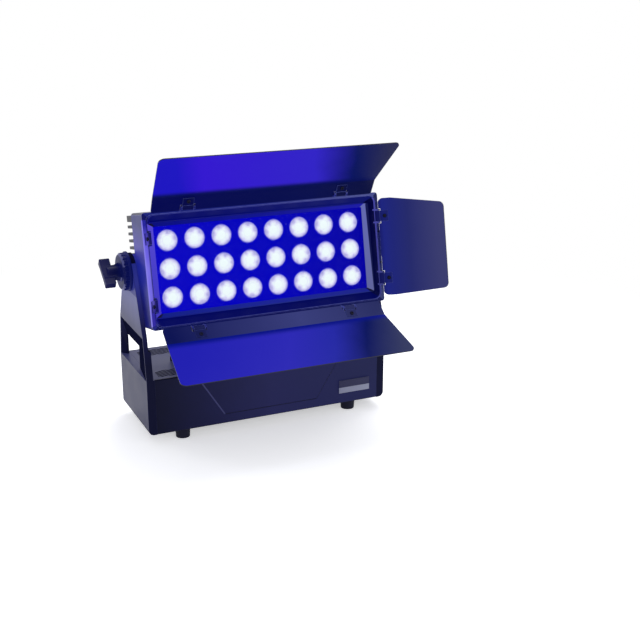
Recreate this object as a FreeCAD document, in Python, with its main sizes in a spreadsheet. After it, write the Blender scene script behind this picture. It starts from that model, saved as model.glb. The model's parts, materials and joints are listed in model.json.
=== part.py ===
"""Stage flood light with a floor base, a tilting lamp head and four barn doors.

Millimetres, +Z up, +X to the right as seen from the front, the front faces -Y. The origin is on the
surface that the feet stand on, under the middle of the base. Head pieces are drawn about the tilt
axis with the face upright, and their placement tilts them.
"""
import FreeCAD, Part
import math
import os
from types import SimpleNamespace

import Sketcher
from FreeCAD import Placement, Rotation, Vector

DOCUMENT = FreeCAD.newDocument("FloodLight")

# Driving dimensions: alias, value, meaning
SIZES = [
    ("overall_width", 376, "across the outer faces of the arm frames"),
    ("base_depth", 140, "front face to rear panel"),
    ("base_height", 83, "housing alone, without feet"),
    ("foot_height", 15, "rubber foot"),
    ("foot_radius", 11.2, "rubber foot at the housing"),
    ("foot_draft", 1, "how much smaller the foot's radius is at the floor"),
    ("foot_across", 267, "between left and right feet"),
    ("foot_along", 110, "between front and rear feet"),
    ("foot_recess_radius", 6, "round recess in the foot's underside"),
    ("foot_recess_depth", 5, "round recess in the foot's underside"),
    ("foot_bore_radius", 4.2, "bore for the screw head above the recess"),
    ("foot_bore_depth", 12, "top of that bore above the floor"),
    ("screw_radius", 2, "thread of the small screws"),
    ("screw_head_radius", 3.6, "head of the small screws"),
    ("screw_head_draft", 0.7, "how much smaller the head's radius is at its top"),
    ("screw_head_height", 2.2, "head of the small screws"),
    ("screw_length", 8, "thread length of the small screws"),
    ("seat_gap", 0.3, "between faces of pieces that move on each other"),
    ("running_gap", 0.05, "radial, shaft in bush"),
    ("overrun", 2, "how far cuts run past the solid"),
    ("base_wall", 3, "housing wall"),
    ("rear_wall", 2.5, "rear panel sheet"),
    ("cover_sheet", 2.5, "top cover sheet"),
    ("rear_lip", 10, "upstand of the housing behind the rear panel"),
    ("edge_round", 1.5, "rounded long edges of the housing"),
    ("field_rise", 2, "raised field on the front"),
    ("field_foot_half", 74, "half width of the field at its lower edge"),
    ("field_top_half", 116, "half width of the field at its upper edge"),
    ("field_foot_inset", 14, "field's lower edge above the housing's bottom"),
    ("field_top_inset", 2.5, "field's upper edge below the housing's top"),
    ("field_bevel_angle", 45, "angle of the field's bevelled edge"),
    ("post_radius", 3, "board post"),
    ("post_height", 8, "board post"),
    ("vent_pitch", 7.2, "between vent slots along the cover"),
    ("vent_width", 2.8, "slot width along the cover"),
    ("vent_run", 26, "slot length across the cover"),
    ("vent_slant", 16, "sideways lean of a slot over its length"),
    ("vent_inset", 7, "slot row from the cover's front and rear edges"),
    ("vent_margin", 12, "first slot from the cover's end"),
    ("frame_end", 12, "thickness of the arm frame at the base"),
    ("frame_corner", 8, "rounded lower corner of the arm frame"),
    ("arm_plate", 6.5, "thickness of the arm"),
    ("grip_plate", 10, "thickness of the arm at the hand-hold"),
    ("grip_top", 41, "top of the thick grip above the base"),
    ("pivot_height", 241.6, "tilt axis above the floor"),
    ("arm_head_radius", 26, "rounded head of the arm"),
    ("arm_lean_angle", 21.5, "lean of the arm's edges towards the axis"),
    ("crease_height", 60, "crease over the hand-hold above the base"),
    ("hold_depth", 8, "depth of the hand-hold's sloping walls"),
    ("hold_front_rim", 1.5, "edge left in front of the sloping wall"),
    ("hold_rear_rim", 4, "edge left behind the hand-hold"),
    ("window_front", 52, "window's front side behind the arm's front edge"),
    ("window_height", 33, "clear height of the window"),
    ("bush_radius", 8, "pivot bush outside"),
    ("bush_flange_radius", 14, "pivot bush flange"),
    ("stud_radius", 5, "knob stud"),
    ("stud_reach", 7.5, "stud's engagement in the head"),
    ("knob_radius", 28.4, "knob's plain flange"),
    ("knob_flange", 2.5, "knob's plain flange height"),
    ("knob_body", 12, "knob height up to its face"),
    ("knob_bevel", 2.6, "bevel round the knob's face"),
    ("flute_count", 20, "flutes round the knob"),
    ("flute_radius", 2.6, "flute"),
    ("neck_radius", 8.5, "neck of the T grip"),
    ("neck_top", 22, "underside of the T grip above the arm"),
    ("grip_bar_length", 46, "T grip"),
    ("grip_bar_height", 15, "T grip along the axis"),
    ("grip_bar_width", 7, "T grip at its middle"),
    ("grip_bar_flare", 2.6, "how much wider the T grip is at its ends"),
    ("grip_bar_straight", 12, "T grip's straight part to either side of its neck"),
    ("stud_in_knob", 12, "stud's depth in the knob"),
    ("left_knob_angle", 54, "T grip of the left knob from upright, towards the back"),
    ("right_knob_angle", -25, "T grip of the right knob from upright, towards the front"),
    ("head_tilt_angle", 11.3, "face turned up from level"),
    ("head_width", 359, "front frame"),
    ("head_height", 162, "front frame"),
    ("bezel_front", 68.9, "bezel's front face ahead of the tilt axis"),
    ("bezel_depth", 12.9, "bezel front to back"),
    ("head_corner", 4, "rounded corners of the head"),
    ("housing_wall", 4, "head housing, top and bottom"),
    ("housing_side", 8, "head housing, sides"),
    ("housing_back", 15, "back edge of the side walls ahead of the tilt axis"),
    ("lobe_radius", 24, "pivot lobe"),
    ("lobe_thickness", 9, "pivot lobe"),
    ("sink_plate", 9, "heatsink base plate"),
    ("sink_side_gap", 0.2, "heatsink to housing"),
    ("fin_back", 42, "fins' back edge behind the tilt axis"),
    ("fin_pitch", 10.1, "between fins"),
    ("fin_thickness", 4.2, "fin"),
    ("fin_pairs", 6, "fins above and below the middle fin"),
    ("fin_cap", 9, "thick outer fin"),
    ("lens_rows", 3, "rows of lenses"),
    ("lens_columns", 8, "columns of lenses"),
    ("lens_pitch", 40, "between lenses both ways"),
    ("lens_radius", 15.4, "lens"),
    ("lens_front", 47.1, "lens face ahead of the tilt axis"),
    ("lens_rim", 2.4, "straight rim of the lens"),
    ("lens_foot_radius", 6, "lens at its foot"),
    ("lens_hole_gap", 0.3, "lens to plate hole"),
    ("emitter_size", 5.5, "light source, square"),
    ("emitter_height", 2.2, "light source"),
    ("board_thickness", 2, "light source board"),
    ("board_margin", 25, "board beyond the outer lens centres, sideways"),
    ("board_margin_up", 22, "board beyond the outer lens centres, upwards"),
    ("plate_thickness", 3, "lens plate"),
    ("plate_setback", 0.6, "lens plate behind the lens faces"),
    ("glass_gap", 2.9, "lens faces to glass"),
    ("glass_thickness", 3, "cover glass"),
    ("glass_margin", 3, "glass to housing walls"),
    ("seal_width", 5, "seal under the glass"),
    ("retainer_depth", 4.5, "bevelled inner frame front to back"),
    ("retainer_side_inset", 4, "bevelled inner frame inside the face opening's rim, at the sides"),
    ("retainer_level_inset", 11, "bevelled inner frame inside the rim, top and bottom"),
    ("bevel_side", 9, "bevel at left and right"),
    ("bevel_level", 5, "bevel at top and bottom"),
    ("bevel_rim", 1.5, "flat rim of the bevelled inner frame"),
    ("mouth_side_border", 4.5, "front frame beside the rim of the face opening"),
    ("mouth_level_border", 3, "front frame above and below the rim"),
    ("mouth_corner", 10, "rim corner radius"),
    ("throat_corner", 4, "opening's corner radius at its back"),
    ("door_sheet", 2, "door frame sheet"),
    ("rim_height", 3, "raised rim of the door frame"),
    ("rim_wall", 1.5, "raised rim of the door frame"),
    ("hinge_forward", 78, "hinge axes ahead of the tilt axis"),
    ("hinge_up", 84, "top and bottom hinge axes from the middle"),
    ("hinge_out", 174.5, "side hinge axes from the middle"),
    ("hinge_spread_level", 116, "hinge clips of the top and bottom doors from the middle"),
    ("hinge_spread_side", 46, "hinge clips of the side doors from the middle"),
    ("clip_width", 16, "hinge clip"),
    ("clip_length", 16, "hinge clip from the axis"),
    ("clip_sheet", 1.2, "hinge clip"),
    ("barrel_radius", 3.5, "hinge clip barrel"),
    ("pin_radius", 1.5, "hinge pin"),
    ("pin_stand_out", 0.3, "hinge pin beyond the ears"),
    ("ear_thickness", 2, "hinge ear"),
    ("ear_radius", 4, "hinge ear round its pin"),
    ("leaf_sheet", 1.5, "door leaf"),
    ("side_leaf_start", 1.4, "side leaves' edge from the hinge axis"),
    ("level_leaf_back", 5.4, "edge of the top and bottom leaves behind the hinge axis"),
    ("leaf_notch", 4.6, "leaf's notch round the hinge, from the axis"),
    ("notch_gap", 0.6, "leaf's notch beside the ears"),
    ("strip_length", 20, "leaf from hinge axis to bend"),
    ("flap_length", 89, "leaf from bend to edge"),
    ("leaf_bend_angle", 18, "bend of the leaf"),
    ("level_leaf_hinge_half", 167.5, "top and bottom leaves at the hinge"),
    ("level_leaf_tip_half", 175, "top and bottom leaves at the edge"),
    ("side_leaf_hinge_half", 72, "side leaves at the hinge"),
    ("side_leaf_tip_half", 61.4, "side leaves at the edge"),
    ("leaf_corner", 8, "rounded corners at a leaf's free edge, and all those of a side leaf"),
    ("leaf_hinge_corner", 4, "rounded corners of the top and bottom leaves at their hinges"),
    ("leaf_screw_place", 11, "clip screw from the hinge axis"),
    ("clip_screw_radius", 1.6, "clip screw thread"),
    ("clip_screw_head", 3, "clip screw head radius"),
    ("clip_screw_top", 2.25, "clip screw head radius at its top"),
    ("clip_screw_height", 1.7, "clip screw head"),
    ("top_door_angle", 33, "flap's lean outwards"),
    ("bottom_door_angle", 31, "flap's lean outwards"),
    ("left_door_angle", 15, "flap's lean outwards"),
    ("right_door_angle", 30, "flap's lean outwards"),
    ("gland_radius", 12, "cable gland across its corners"),
    ("gland_body_radius", 9.5, "cable gland between its nuts"),
    ("gland_thread_radius", 8, "cable gland thread"),
    ("gland_bore_radius", 4, "cable gland bore"),
    ("gland_nut", 7, "cable gland's lower nut"),
    ("gland_cap", 14, "cable gland's cap nut"),
    ("gland_cap_gap", 3, "between the gland's nuts"),
    ("gland_thread", 7, "gland's thread through the wall"),
    ("base_gland_x", -120, "base gland"),
    ("base_gland_y", 0, "base gland"),
    ("head_gland_x", -82, "head gland"),
    ("head_gland_y", -34, "head gland, measured from the tilt axis"),
    ("supply_length", 170, "power supply"),
    ("supply_front_gap", 7, "power supply and driver board to the front wall"),
    ("supply_back_gap", 1.5, "power supply and driver board to the fuse holder"),
    ("supply_height", 38, "power supply"),
    ("supply_x", -75, "power supply"),
    ("terminal_depth", 12, "terminal strip of the power supply"),
    ("terminal_height", 16, "terminal strip of the power supply"),
    ("driver_length", 120, "driver board"),
    ("driver_x", 92, "driver board"),
    ("circuit_sheet", 1.6, "circuit boards"),
    ("post_inset", 6, "posts from a board's edges"),
    ("choke_size", 18, "coil on the driver board"),
    ("panel_row", 44, "socket row above the housing's bottom"),
    ("socket_width", 26, "socket flange"),
    ("socket_height", 31, "socket flange"),
    ("socket_flange", 2.2, "socket flange"),
    ("socket_radius", 11.8, "socket body behind the panel"),
    ("socket_body", 22, "socket body behind the panel"),
    ("power_collar_radius", 12.4, "collar of a power socket"),
    ("power_collar", 7, "collar of a power socket"),
    ("power_bore_radius", 10, "bore of a power socket"),
    ("power_core_radius", 5, "contact core of a power socket"),
    ("data_bore_radius", 9.2, "bore of a data socket"),
    ("data_depth", 12, "depth of a data socket"),
    ("contact_radius", 1.3, "contacts of a data socket"),
    ("contact_ring", 4.8, "contacts' distance from the middle"),
    ("contact_count", 3, "contacts of a data socket"),
    ("contact_start_angle", 90, "first contact, from the socket's side"),
    ("power_in_x", -140, "power inlet"),
    ("power_out_x", -103, "power outlet"),
    ("data_in_x", -34, "data inlet"),
    ("data_out_x", 2, "data outlet"),
    ("fuse_x", -66, "fuse holder"),
    ("fuse_flange_radius", 9, "fuse holder flange"),
    ("fuse_flange", 2, "fuse holder flange"),
    ("fuse_body_radius", 6.5, "fuse holder body"),
    ("fuse_body", 34, "fuse holder body behind the panel"),
    ("fuse_cap_radius", 7, "fuse cap"),
    ("fuse_cap_height", 6, "fuse cap"),
    ("fuse_slot_width", 1.6, "fuse cap's screwdriver slot"),
    ("fuse_slot_depth", 1.8, "fuse cap's screwdriver slot"),
    ("fuse_plug_radius", 4, "fuse carrier in the holder"),
    ("fuse_plug", 20, "fuse carrier in the holder"),
    ("display_x", 110, "read-out and buttons"),
    ("display_up", 56, "read-out above the housing's bottom"),
    ("display_width", 54, "read-out window"),
    ("display_height", 26, "read-out window"),
    ("button_up", 27, "buttons above the housing's bottom"),
    ("button_pitch", 18, "between buttons"),
    ("button_count", 4, "buttons"),
    ("button_radius", 4.6, "button"),
    ("button_stand_out", 2.4, "button beyond the panel"),
    ("button_flange_radius", 6, "button's collar behind the panel"),
    ("button_flange", 1.2, "button's collar"),
    ("button_gap", 0.3, "button to its hole"),
    ("button_travel", 0.8, "button"),
    ("switch_size", 6, "switch under a button"),
    ("switch_height", 3, "switch under a button"),
    ("panel_board_length", 86, "board behind the read-out"),
    ("panel_board_height", 62, "board behind the read-out"),
    ("panel_board_gap", 8, "board behind the panel"),
    ("eye_x", 44, "safety eye"),
    ("eye_up", 30, "safety eye above the housing's bottom"),
    ("eye_plate_width", 16, "safety eye foot plate"),
    ("eye_plate_height", 40, "safety eye foot plate"),
    ("eye_sheet", 3, "safety eye"),
    ("eye_reach", 13, "safety eye hole from the panel"),
    ("eye_radius", 10, "safety eye round its hole"),
    ("eye_hole_radius", 6, "safety eye hole"),
    ("quarter_spacing", 125, "between the quarter-turn sockets"),
    ("quarter_flange_radius", 14, "quarter-turn socket flange"),
    ("quarter_flange", 1.5, "quarter-turn socket flange"),
    ("quarter_body_radius", 10, "quarter-turn socket body"),
    ("quarter_body", 9, "quarter-turn socket body above the housing's bottom"),
    ("quarter_hole_radius", 5.6, "quarter-turn socket hole"),
    ("quarter_slot_width", 3, "slot for the stud's cross pin"),
    ("quarter_slot_length", 17, "slot for the stud's cross pin"),
    ("quarter_slot_depth", 3, "slot for the stud's cross pin"),
    ("panel_screw_rise", 7.2, "lower rear panel screws above the housing's bottom"),
    ("panel_screw_inset", 9, "rear panel screws from the panel's edges"),
    ("bezel_screw_inset", 5, "bezel screws from the head's edges"),
    ("bezel_screw_radius", 1.5, "bezel screws"),
    ("bezel_screw_length", 14, "bezel screws"),
]


class Size:
    """A length, angle or count that carries its number and the sheet formula behind it."""

    def __init__(self, number, formula):
        self.number = number
        self.formula = formula

    def joined(self, other, sign, result):
        text = other.formula if isinstance(other, Size) else repr(other)
        return Size(result, "(%s %s %s)" % (self.formula, sign, text))

    def __add__(self, other):
        return self.joined(other, "+", self.number + plain(other))

    def __sub__(self, other):
        return self.joined(other, "-", self.number - plain(other))

    def __mul__(self, other):
        return self.joined(other, "*", self.number * plain(other))

    def __truediv__(self, other):
        return self.joined(other, "/", self.number / plain(other))

    def __neg__(self):
        return Size(-self.number, "(0 - %s)" % self.formula)


def plain(value):
    """The number of a size, or the number itself."""
    return value.number if isinstance(value, Size) else value


def sine(angle):
    return Size(math.sin(math.radians(angle.number)), "sin(%s)" % angle.formula)


def cosine(angle):
    return Size(math.cos(math.radians(angle.number)), "cos(%s)" % angle.formula)


def tangent(angle):
    return sine(angle) / cosine(angle)


def make_sheet():
    """Writes the driving dimensions to the sheet and hands them back as sizes."""
    sheet = DOCUMENT.addObject("Spreadsheet::Sheet", "Sizes")
    for row, (alias, value, meaning) in enumerate(SIZES, start=1):
        sheet.set("A%d" % row, alias)
        sheet.set("B%d" % row, str(value))
        sheet.set("C%d" % row, meaning)
        sheet.setAlias("B%d" % row, alias)
    DOCUMENT.recompute()
    return SimpleNamespace(**{alias: Size(float(sheet.get(alias)), "Sizes.%s" % alias)
                              for alias, value, meaning in SIZES})


S = make_sheet()
ZERO = Size(0.0, "0")

# Lengths that several pieces share
HALF_WIDTH = S.overall_width / 2
HALF_DEPTH = S.base_depth / 2
BASE_TOP = S.foot_height + S.base_height
HOUSING_HALF = HALF_WIDTH - S.frame_end
FLOOR_TOP = S.foot_height + S.base_wall
PANEL_INNER = HALF_DEPTH - S.rear_wall
SUPPLY_FRONT = S.base_wall + S.supply_front_gap - HALF_DEPTH
SUPPLY_BACK = PANEL_INNER - S.fuse_body - S.supply_back_gap
SUPPLY_DEPTH = SUPPLY_BACK - SUPPLY_FRONT
SUPPLY_MIDDLE = (SUPPLY_BACK + SUPPLY_FRONT) / 2
ARM_INNER = HALF_WIDTH - S.arm_plate
HEAD_HALF_WIDTH = S.head_width / 2
HEAD_HALF_HEIGHT = S.head_height / 2
MOUTH_HALF_WIDTH = HEAD_HALF_WIDTH - S.mouth_side_border
MOUTH_HALF_HEIGHT = HEAD_HALF_HEIGHT - S.mouth_level_border
RETAINER_HALF_WIDTH = MOUTH_HALF_WIDTH - S.retainer_side_inset
RETAINER_HALF_HEIGHT = MOUTH_HALF_HEIGHT - S.retainer_level_inset
BEZEL_BACK = S.bezel_front - S.bezel_depth
CAVITY_HALF_WIDTH = HEAD_HALF_WIDTH - S.housing_side
CAVITY_HALF_HEIGHT = HEAD_HALF_HEIGHT - S.housing_wall
SINK_FRONT = S.housing_back + S.sink_plate
BOARD_FRONT = SINK_FRONT + S.board_thickness
EMITTER_FRONT = BOARD_FRONT + S.emitter_height
PLATE_FRONT = S.lens_front - S.plate_setback
PLATE_BACK = PLATE_FRONT - S.plate_thickness
GLASS_BACK = S.lens_front + S.glass_gap
GLASS_FRONT = GLASS_BACK + S.glass_thickness
DOOR_FRAME_FRONT = S.bezel_front + S.door_sheet
EAR_INNER = S.clip_width / 2 + S.seat_gap
EAR_OUTER = EAR_INNER + S.ear_thickness
PANEL_ROW = S.foot_height + S.panel_row
BUTTON_ROW = S.foot_height + S.button_up
DISPLAY_ROW = S.foot_height + S.display_up
PANEL_BOARD_ROW = (BUTTON_ROW + DISPLAY_ROW) / 2
COLUMN_PLACES = [S.lens_pitch * (step - (plain(S.lens_columns) - 1) / 2)
                 for step in range(int(plain(S.lens_columns)))]
ROW_PLACES = [S.lens_pitch * (step - (plain(S.lens_rows) - 1) / 2)
              for step in range(int(plain(S.lens_rows)))]
BUTTON_PLACES = [S.display_x + S.button_pitch * ((plain(S.button_count) - 1) / 2 - step)
                 for step in range(int(plain(S.button_count)))]
BUTTON_NAMES = ["menu", "down", "up", "enter"]
FULL_TURN = 360
HALF_TURN = 180

# Shares of a row's length or of a pitch at which repeated pieces sit
PANEL_SCREW_SHARES = (-1, -0.35, 0.35, 1)
BEZEL_SCREW_SHARES = (-1, -0.34, 0.34, 1)
FRAME_SCREW_SHARES = (-0.5, 0.5)
COIL_SHARES = (-0.25, 0.25)
BOARD_POST_SHARES = ((-3, -0.5), (-3, 0.5), (0, -0.5), (0, 0.5), (3, -0.5), (3, 0.5))

HEAD_PLACEMENT = Placement(Vector(0, 0, S.pivot_height.number),
                           Rotation(Vector(1, 0, 0), -S.head_tilt_angle.number))
PARTS = {}


# Drawing helpers

def point(x, y, z):
    return Vector(plain(x), plain(y), plain(z))


def keep(obj, label, placement=None):
    """Names a finished piece and remembers it for export."""
    obj.Label = label
    if placement is not None:
        obj.Placement = placement
    PARTS[label] = obj
    return obj


def new_body(name):
    return DOCUMENT.addObject("PartDesign::Body", name + "_body")


def new_sketch(body, role, offset=ZERO):
    """Sketch on one of the body's origin planes, moved along that plane's normal."""
    plane = next(item for item in body.Origin.OriginFeatures if item.Role == role)
    sketch = body.newObject("Sketcher::SketchObject", "sketch")
    sketch.AttachmentSupport = [(plane, "")]
    sketch.MapMode = "FlatFace"
    sketch.setExpression("AttachmentOffset.Base.z", offset.formula)
    return sketch


def pin_point(sketch, item, end, x, y):
    """Ties one end of a sketch line or arc to its coordinates; None leaves one free."""
    for kind, value in (("DistanceX", x), ("DistanceY", y)):
        if value is None:
            continue
        index = sketch.addConstraint(Sketcher.Constraint(kind, -1, 1, item, end, plain(value)))
        if isinstance(value, Size):
            sketch.setExpression("Constraints[%d]" % index, value.formula)


def draw_outline(sketch, corners):
    """Closed outline of straight runs; a corner with two more values starts an arc about them."""
    items = []
    ends = corners[1:] + corners[:1]
    for start, end in zip(corners, ends):
        first, last = point(start[0], start[1], 0), point(end[0], end[1], 0)
        if len(start) == 2:
            items.append(sketch.addGeometry(Part.LineSegment(first, last), False))
            continue
        centre = point(start[2], start[3], 0)
        radius = (first - centre).Length
        angle = math.atan2(first.y - centre.y, first.x - centre.x)
        until = math.atan2(last.y - centre.y, last.x - centre.x)
        turn = Part.ArcOfCircle(Part.Circle(centre, Vector(0, 0, 1), radius), angle, until)
        items.append(sketch.addGeometry(turn, False))
    for index, (start, item) in enumerate(zip(corners, items)):
        following = items[(index + 1) % len(items)]
        sketch.addConstraint(Sketcher.Constraint("Coincident", item, 2, following, 1))
        before = corners[index - 1]
        x, y = start[0], start[1]
        if len(before) == 4:
            beside = abs(plain(x) - plain(before[2])) > abs(plain(y) - plain(before[3]))
            x, y = (None, y) if beside else (x, None)
        pin_point(sketch, item, 1, x, y)
        if len(start) == 4:
            pin_point(sketch, item, 3, start[2], start[3])


def draw_rectangle(sketch, x0, y0, x1, y1):
    draw_outline(sketch, [(x0, y0), (x1, y0), (x1, y1), (x0, y1)])


def draw_rounded(sketch, half_x, half_y, radius):
    """Rectangle about the origin with rounded corners."""
    inner_x, inner_y = half_x - radius, half_y - radius
    draw_outline(sketch, [
        (-inner_x, -half_y), (inner_x, -half_y, inner_x, -inner_y),
        (half_x, -inner_y), (half_x, inner_y, inner_x, inner_y),
        (inner_x, half_y), (-inner_x, half_y, -inner_x, inner_y),
        (-half_x, inner_y), (-half_x, -inner_y, -inner_x, -inner_y)])


def draw_circle(sketch, x, y, radius):
    circle = Part.Circle(point(x, y, 0), Vector(0, 0, 1), plain(radius))
    item = sketch.addGeometry(circle, False)
    pin_point(sketch, item, 3, x, y)
    index = sketch.addConstraint(Sketcher.Constraint("Radius", item, plain(radius)))
    sketch.setExpression("Constraints[%d]" % index, radius.formula)


def pad(body, sketch, length, both=False, back=False, taper=None):
    """Raises a sketch; back turns the direction round, both grows it to either side."""
    feature = body.newObject("PartDesign::Pad", "pad")
    feature.Profile = sketch
    feature.setExpression("Length", length.formula)
    feature.SideType = "Symmetric" if both else "One side"
    feature.Reversed = back
    if taper is not None:
        feature.setExpression("TaperAngle", taper.formula)
    return feature


def pocket(body, sketch, depth, back=False, both=False):
    """Cuts a sketch into the body and makes sure that it took something away."""
    DOCUMENT.recompute()
    before = body.Shape.Volume
    feature = body.newObject("PartDesign::Pocket", "pocket")
    feature.Profile = sketch
    feature.setExpression("Length", depth.formula)
    feature.SideType = "Symmetric" if both else "One side"
    feature.Reversed = back
    DOCUMENT.recompute()
    if body.Shape.Volume >= before:
        raise RuntimeError("a pocket of %s cuts nothing" % body.Name)
    return feature


def round_edges(body, tip, radius, wanted):
    """Rounds the edges of the latest feature that the test picks."""
    DOCUMENT.recompute()
    names = ["Edge%d" % number for number, edge in enumerate(tip.Shape.Edges, start=1)
             if wanted(edge)]
    feature = body.newObject("PartDesign::Fillet", "round")
    feature.Base = (tip, names)
    feature.setExpression("Radius", radius.formula)
    return feature


def runs_along(edge, axis):
    """True for a straight edge along the axis 0, 1 or 2."""
    box = edge.BoundBox
    spans = [box.XLength, box.YLength, box.ZLength]
    return spans[axis] > 0.99 * edge.Length and edge.Curve.TypeId == "Part::GeomLine"


def near(value, target):
    return abs(value - plain(target)) < 0.01


def box(name, x, y, z, half_x=None, half_y=None, half_z=None):
    """Box centred on a place, given by its half lengths."""
    item = DOCUMENT.addObject("Part::Box", name)
    for side, middle, half in (("x", x, half_x), ("y", y, half_y), ("z", z, half_z)):
        prop = {"x": "Length", "y": "Width", "z": "Height"}[side]
        item.setExpression(prop, (half * 2).formula)
        item.setExpression("Placement.Base." + side, (middle - half).formula)
    return item


AXES = {"x": Rotation(Vector(0, 1, 0), 90), "y": Rotation(Vector(1, 0, 0), -90),
        "z": Rotation(), "-x": Rotation(Vector(0, 1, 0), -90), "-y": Rotation(Vector(1, 0, 0), 90),
        "-z": Rotation(Vector(1, 0, 0), 180)}


def stand(item, x, y, z, axis):
    """Puts a primitive's foot at a place, pointing along an axis."""
    item.Placement = Placement(Vector(), AXES[axis])
    for side, value in (("x", x), ("y", y), ("z", z)):
        item.setExpression("Placement.Base." + side, value.formula)
    return item


def rod(name, radius, length, x, y, z, axis="z"):
    """Cylinder from a place along an axis."""
    item = DOCUMENT.addObject("Part::Cylinder", name)
    item.setExpression("Radius", radius.formula)
    item.setExpression("Height", length.formula)
    return stand(item, x, y, z, axis)


def cone(name, radius, end_radius, length, x, y, z, axis="z"):
    """Cone from a place along an axis."""
    item = DOCUMENT.addObject("Part::Cone", name)
    item.setExpression("Radius1", radius.formula)
    item.setExpression("Radius2", end_radius.formula)
    item.setExpression("Height", length.formula)
    return stand(item, x, y, z, axis)


def hexagon(name, radius, length, x, y, z, axis="z"):
    """Six-sided nut from a place along an axis, measured across its corners."""
    item = DOCUMENT.addObject("Part::Prism", name)
    item.Polygon = 6
    item.setExpression("Circumradius", radius.formula)
    item.setExpression("Height", length.formula)
    return stand(item, x, y, z, axis)


def fuse(name, *items):
    joined = DOCUMENT.addObject("Part::MultiFuse", name)
    joined.Shapes = list(items)
    return joined


def cut(name, base, tool):
    remainder = DOCUMENT.addObject("Part::Cut", name)
    remainder.Base = base
    remainder.Tool = tool
    return remainder


def group(name, items):
    """Separate solids that share one node."""
    together = DOCUMENT.addObject("Part::Compound", name)
    together.Links = list(items)
    return together


def mirrored(name, source):
    """The same piece for the other side of the light."""
    twin = DOCUMENT.addObject("Part::Mirroring", name)
    twin.Source = source
    twin.Normal = Vector(1, 0, 0)
    return twin


def pan_screw(name, x, y, z, axis, head_radius, head_height, radius, length):
    """Screw whose head's underside is at a place; the axis points out of the head."""
    opposite = {"y": "-y", "-y": "y", "z": "-z", "-z": "z", "x": "-x", "-x": "x"}[axis]
    head = cone(name + "_head", head_radius, head_radius - S.screw_head_draft, head_height, x, y, z, axis)
    thread = rod(name + "_thread", radius, length, x, y, z, opposite)
    return fuse(name, head, thread)


# Base

def base_housing():
    """Front face, floor and rear lip folded from one sheet, with the raised front field."""
    body = new_body("base_housing")
    profile = new_sketch(body, "YZ_Plane")
    draw_outline(profile, [
        (-HALF_DEPTH, S.foot_height), (PANEL_INNER, S.foot_height),
        (PANEL_INNER, S.foot_height + S.rear_lip), (PANEL_INNER - S.base_wall,
                                                    S.foot_height + S.rear_lip),
        (PANEL_INNER - S.base_wall, FLOOR_TOP), (-(HALF_DEPTH - S.base_wall), FLOOR_TOP),
        (-(HALF_DEPTH - S.base_wall), BASE_TOP), (-HALF_DEPTH, BASE_TOP)])
    shell = pad(body, profile, HOUSING_HALF * 2, both=True)
    shell = round_edges(body, shell, S.edge_round, lambda edge: runs_along(edge, 0)
                        and near(edge.CenterOfMass.y, -HALF_DEPTH))
    field = new_sketch(body, "XZ_Plane", HALF_DEPTH)
    foot, top = S.foot_height + S.field_foot_inset, BASE_TOP - S.field_top_inset
    draw_outline(field, [(-S.field_foot_half, foot), (S.field_foot_half, foot),
                         (S.field_top_half, top), (-S.field_top_half, top)])
    pad(body, field, S.field_rise, taper=-S.field_bevel_angle)
    posts = new_sketch(body, "XY_Plane", FLOOR_TOP)
    for side in (-1, 1):
        for end in (-1, 1):
            draw_circle(posts, S.driver_x + (S.driver_length / 2 - S.post_inset) * side,
                        SUPPLY_MIDDLE + (SUPPLY_DEPTH / 2 - S.post_inset) * end, S.post_radius)
            draw_circle(posts, S.supply_x + (S.supply_length / 2 - S.post_inset) * side,
                        SUPPLY_MIDDLE + (SUPPLY_DEPTH / 2 - S.post_inset) * end, S.post_radius)
    pad(body, posts, S.post_height)
    holes = new_sketch(body, "XY_Plane", S.foot_height)
    for side in (-1, 1):
        draw_circle(holes, S.quarter_spacing / 2 * side, ZERO, S.quarter_body_radius)
        for end in (-1, 1):
            draw_circle(holes, S.foot_across / 2 * side, S.foot_along / 2 * end, S.screw_radius)
    pocket(body, holes, S.base_wall, back=True)
    return keep(body, "base_housing")


def base_top_cover():
    """Flat cover with two rows of slanted vent slots and the hole for the gland."""
    body = new_body("base_top_cover")
    sheet = new_sketch(body, "XY_Plane", BASE_TOP - S.cover_sheet)
    front, back = -(HALF_DEPTH - S.base_wall), PANEL_INNER
    draw_rectangle(sheet, -HOUSING_HALF, front, HOUSING_HALF, back)
    pad(body, sheet, S.cover_sheet)
    hole = new_sketch(body, "XY_Plane", BASE_TOP)
    draw_circle(hole, S.base_gland_x, S.base_gland_y, S.gland_thread_radius)
    pocket(body, hole, S.cover_sheet)
    slots = new_sketch(body, "XY_Plane", BASE_TOP)
    start = -HOUSING_HALF + S.vent_margin
    for near_end in (front + S.vent_inset, back - S.vent_inset - S.vent_run):
        far_end = near_end + S.vent_run
        draw_outline(slots, [(start, near_end), (start + S.vent_width, near_end),
                             (start + S.vent_width + S.vent_slant, far_end),
                             (start + S.vent_slant, far_end)])
    slot = pocket(body, slots, S.cover_sheet)
    row = body.newObject("PartDesign::LinearPattern", "slot_rows")
    row.Originals = [slot]
    row.Direction = (slots, ["H_Axis"])
    row.Mode = "Spacing"
    run = HOUSING_HALF * 2 - S.vent_margin * 2 - S.vent_width - S.vent_slant
    row.setExpression("Offset", S.vent_pitch.formula)
    row.setExpression("Occurrences", "floor(%s) + 1" % (run / S.vent_pitch).formula)
    body.Tip = row
    return keep(body, "base_top_cover")


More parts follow.
